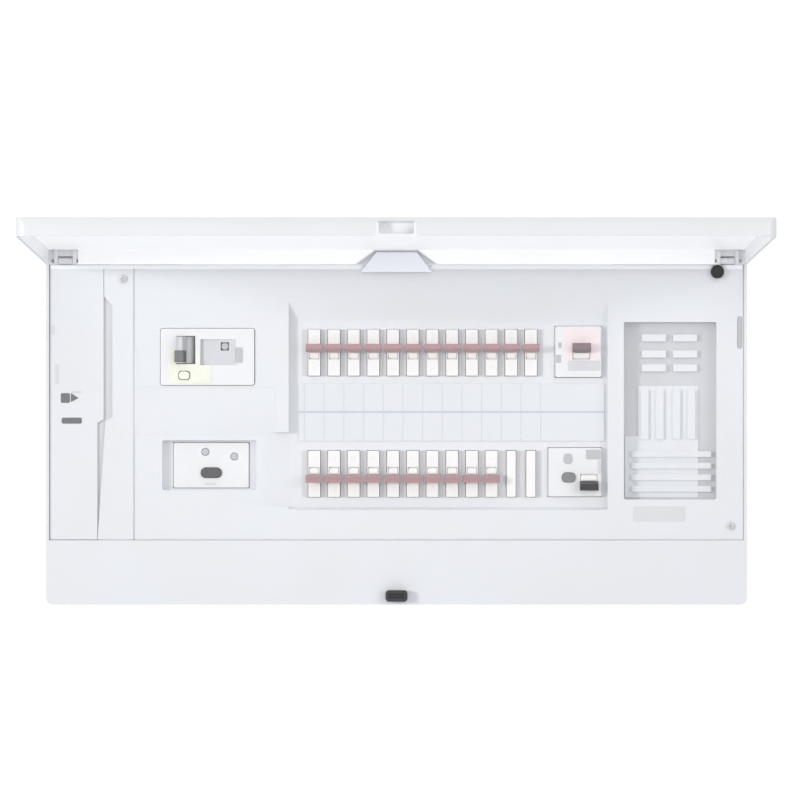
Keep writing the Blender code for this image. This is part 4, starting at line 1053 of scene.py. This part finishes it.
def auxiliary_breakers():
    face = NOSE_FRONT + LIFT
    plate = face + 0.3 * MM
    printed = face + 0.1 * MM

    body = device("aux_breaker_upper_case", "aux_breaker_upper_body", AUX_UPPER_NOSE, NOSE_FRONT)
    pivot = JOINTS["aux_upper_handle_tip"]["pos_m"]
    opening = around(pivot[0], pivot[2], AUX_MOUTH, POCKET_MOUTH)
    toggle_pocket(body, pivot[0], pivot[2], AUX_MOUTH)
    finish(body, "case", "breaker_white", "aux_breaker_upper_body", edge=0.5 * MM, material="face_white")
    panels = {
        "pink": ((144 * MM, 48 * MM, 176 * MM, 76 * MM), 4 * MM, "breaker_pink", None),
        "grey": ((148 * MM, 39 * MM, 176 * MM, 47.6 * MM), MM, "base_grey", "pale_grey"),
    }
    for label, (window, radius, slot, look) in panels.items():
        panel = shape(f"aux_breaker_{label}_panel", fronts([window], face, plate, radius))
        cut(panel, fronts([grown(opening, 0.5 * MM)], 0, NOSE_FRONT + MM))
        finish(panel, "case", slot, edge=0.1 * MM, material=look)
    marks = [around(139.8 * MM, 49.3 * MM, 4.6 * MM, 7 * MM), around(141 * MM, 61 * MM, 3 * MM, 5 * MM)]
    mesh = fronts(marks, face, printed, MM)
    finish(shape("aux_breaker_upper_marks", mesh), "case", "base_grey", edge=0, material="light_grey")
    auxiliary_lever("upper", "aux_breaker_upper_handle", "plum_grey", Matrix.Rotation(-TOGGLE_TILT, 4, "X"))

    body = device("aux_breaker_lower_case", "aux_breaker_lower_body", AUX_LOWER_NOSE, NOSE_FRONT)
    pivot = JOINTS["aux_lower_handle_tip"]["pos_m"]
    toggle_pocket(body, pivot[0], pivot[2], AUX_MOUTH)
    room = around(*middle_of("aux_test_button"), 11.6 * MM, 8.6 * MM)
    pocket(body, room, BUTTON_ROOM, NOSE_FRONT, 3.8 * MM)
    finish(body, "case", "breaker_white", "aux_breaker_lower_body", edge=0.5 * MM, material="face_white")
    mesh = fronts([around(148 * MM, -37 * MM, 8 * MM, 9 * MM)], face, printed, 3 * MM)
    add_front_box(mesh, (163.5 * MM, -37.5 * MM, 176.5 * MM, -29 * MM), face, printed, MM)
    finish(shape("aux_breaker_lower_marks", mesh), "case", "base_grey", edge=0, material="light_grey")
    mesh = fronts([(173.5 * MM, -50 * MM, 176.6 * MM, -37.9 * MM)], face, printed, MM)
    finish(shape("aux_breaker_lower_border", mesh), "case", "base_grey", edge=0, material="pale_grey")
    auxiliary_lever("lower", "aux_breaker_lower_handle", "dark_plastic", Matrix.Rotation(TOGGLE_TILT, 4, "X"))
    button("aux_breaker_test", "aux_test_button", "dark_plastic", 3.4 * MM, "mid_grey")


# Studio


def lamp(name, place, target, size, power):
    data = bpy.data.lights.new(name, "AREA")
    data.shape = "DISK"
    data.size = size
    data.energy = power
    made = bpy.data.objects.new(name, data)
    bpy.context.scene.collection.objects.link(made)
    made.location = place
    made.rotation_euler = (Vector(target) - made.location).to_track_quat("-Z", "Y").to_euler()
    return made


def studio(low_pieces):
    scene = bpy.context.scene
    scene.view_settings.view_transform = "Standard"
    data = bpy.data.cameras.new("camera")
    data.lens = 188
    data.sensor_width = 36
    camera = bpy.data.objects.new("camera", data)
    scene.collection.objects.link(camera)
    camera.location = (0.003, -3.695, 0.0138)
    camera.rotation_euler = (math.pi / 2, 0, 0)
    scene.camera = camera

    world = bpy.data.worlds.new("studio")
    scene.world = world
    world.use_nodes = True
    tree = world.node_tree
    light = tree.nodes["Background"]
    light.inputs["Color"].default_value = (0.97, 0.98, 1.0, 1)
    # The room is brighter below than above.
    place = tree.nodes.new("ShaderNodeTexCoord")
    split = tree.nodes.new("ShaderNodeSeparateXYZ")
    tree.links.new(place.outputs["Generated"], split.inputs[0])
    fall = tree.nodes.new("ShaderNodeMapRange")
    tree.links.new(split.outputs["Z"], fall.inputs["Value"])
    fall.inputs["From Min"].default_value = -1
    fall.inputs["To Min"].default_value = 0.84
    fall.inputs["To Max"].default_value = 0.42
    tree.links.new(fall.outputs["Result"], light.inputs["Strength"])
    backdrop = tree.nodes.new("ShaderNodeBackground")
    backdrop.inputs["Color"].default_value = (1, 1, 1, 1)
    backdrop.inputs["Strength"].default_value = 1.05
    path = tree.nodes.new("ShaderNodeLightPath")
    mixed = tree.nodes.new("ShaderNodeMixShader")
    tree.links.new(path.outputs["Is Camera Ray"], mixed.inputs[0])
    tree.links.new(light.outputs[0], mixed.inputs[1])
    tree.links.new(backdrop.outputs[0], mixed.inputs[2])
    tree.links.new(mixed.outputs[0], tree.nodes["World Output"].inputs["Surface"])

    lamp("key", (-2.6, -2.4, 0.35), (0, -0.1, 0), 0.7, 44)
    lamp("fill", (2.2, -2.6, 0.6), (0, -0.1, 0), 2.2, 24)
    lamp("top", (0.4, -0.4, 2.6), (0, 0, 0), 2.0, 7)
    lamp("rim", (1.4, 2.6, 1.4), (0, 0, 0), 1.5, 30)
    # The open door's underside has a light of its own, as from a card held below it.
    low_card = lamp("low_card", (0, -0.9, -0.75), (0, -0.25, 0.14), 0.9, 7)
    low_card.visible_camera = False
    receivers = bpy.data.collections.new("low_card_receivers")
    for piece in low_pieces:
        receivers.objects.link(piece)
    low_card.light_linking.receiver_collection = receivers


outer_frame()
inner_cover()
limiter_cover()
accessory_bay_plate()
label_strip()
top_lip = inner_cover_top_lip()
stay_leaf = small_fittings()
back_and_inside()
door_lining = door()
branch_rows()
blank_filler()
main_breaker()
monitor_unit()
auxiliary_breakers()
studio((door_lining, stay_leaf, top_lip))
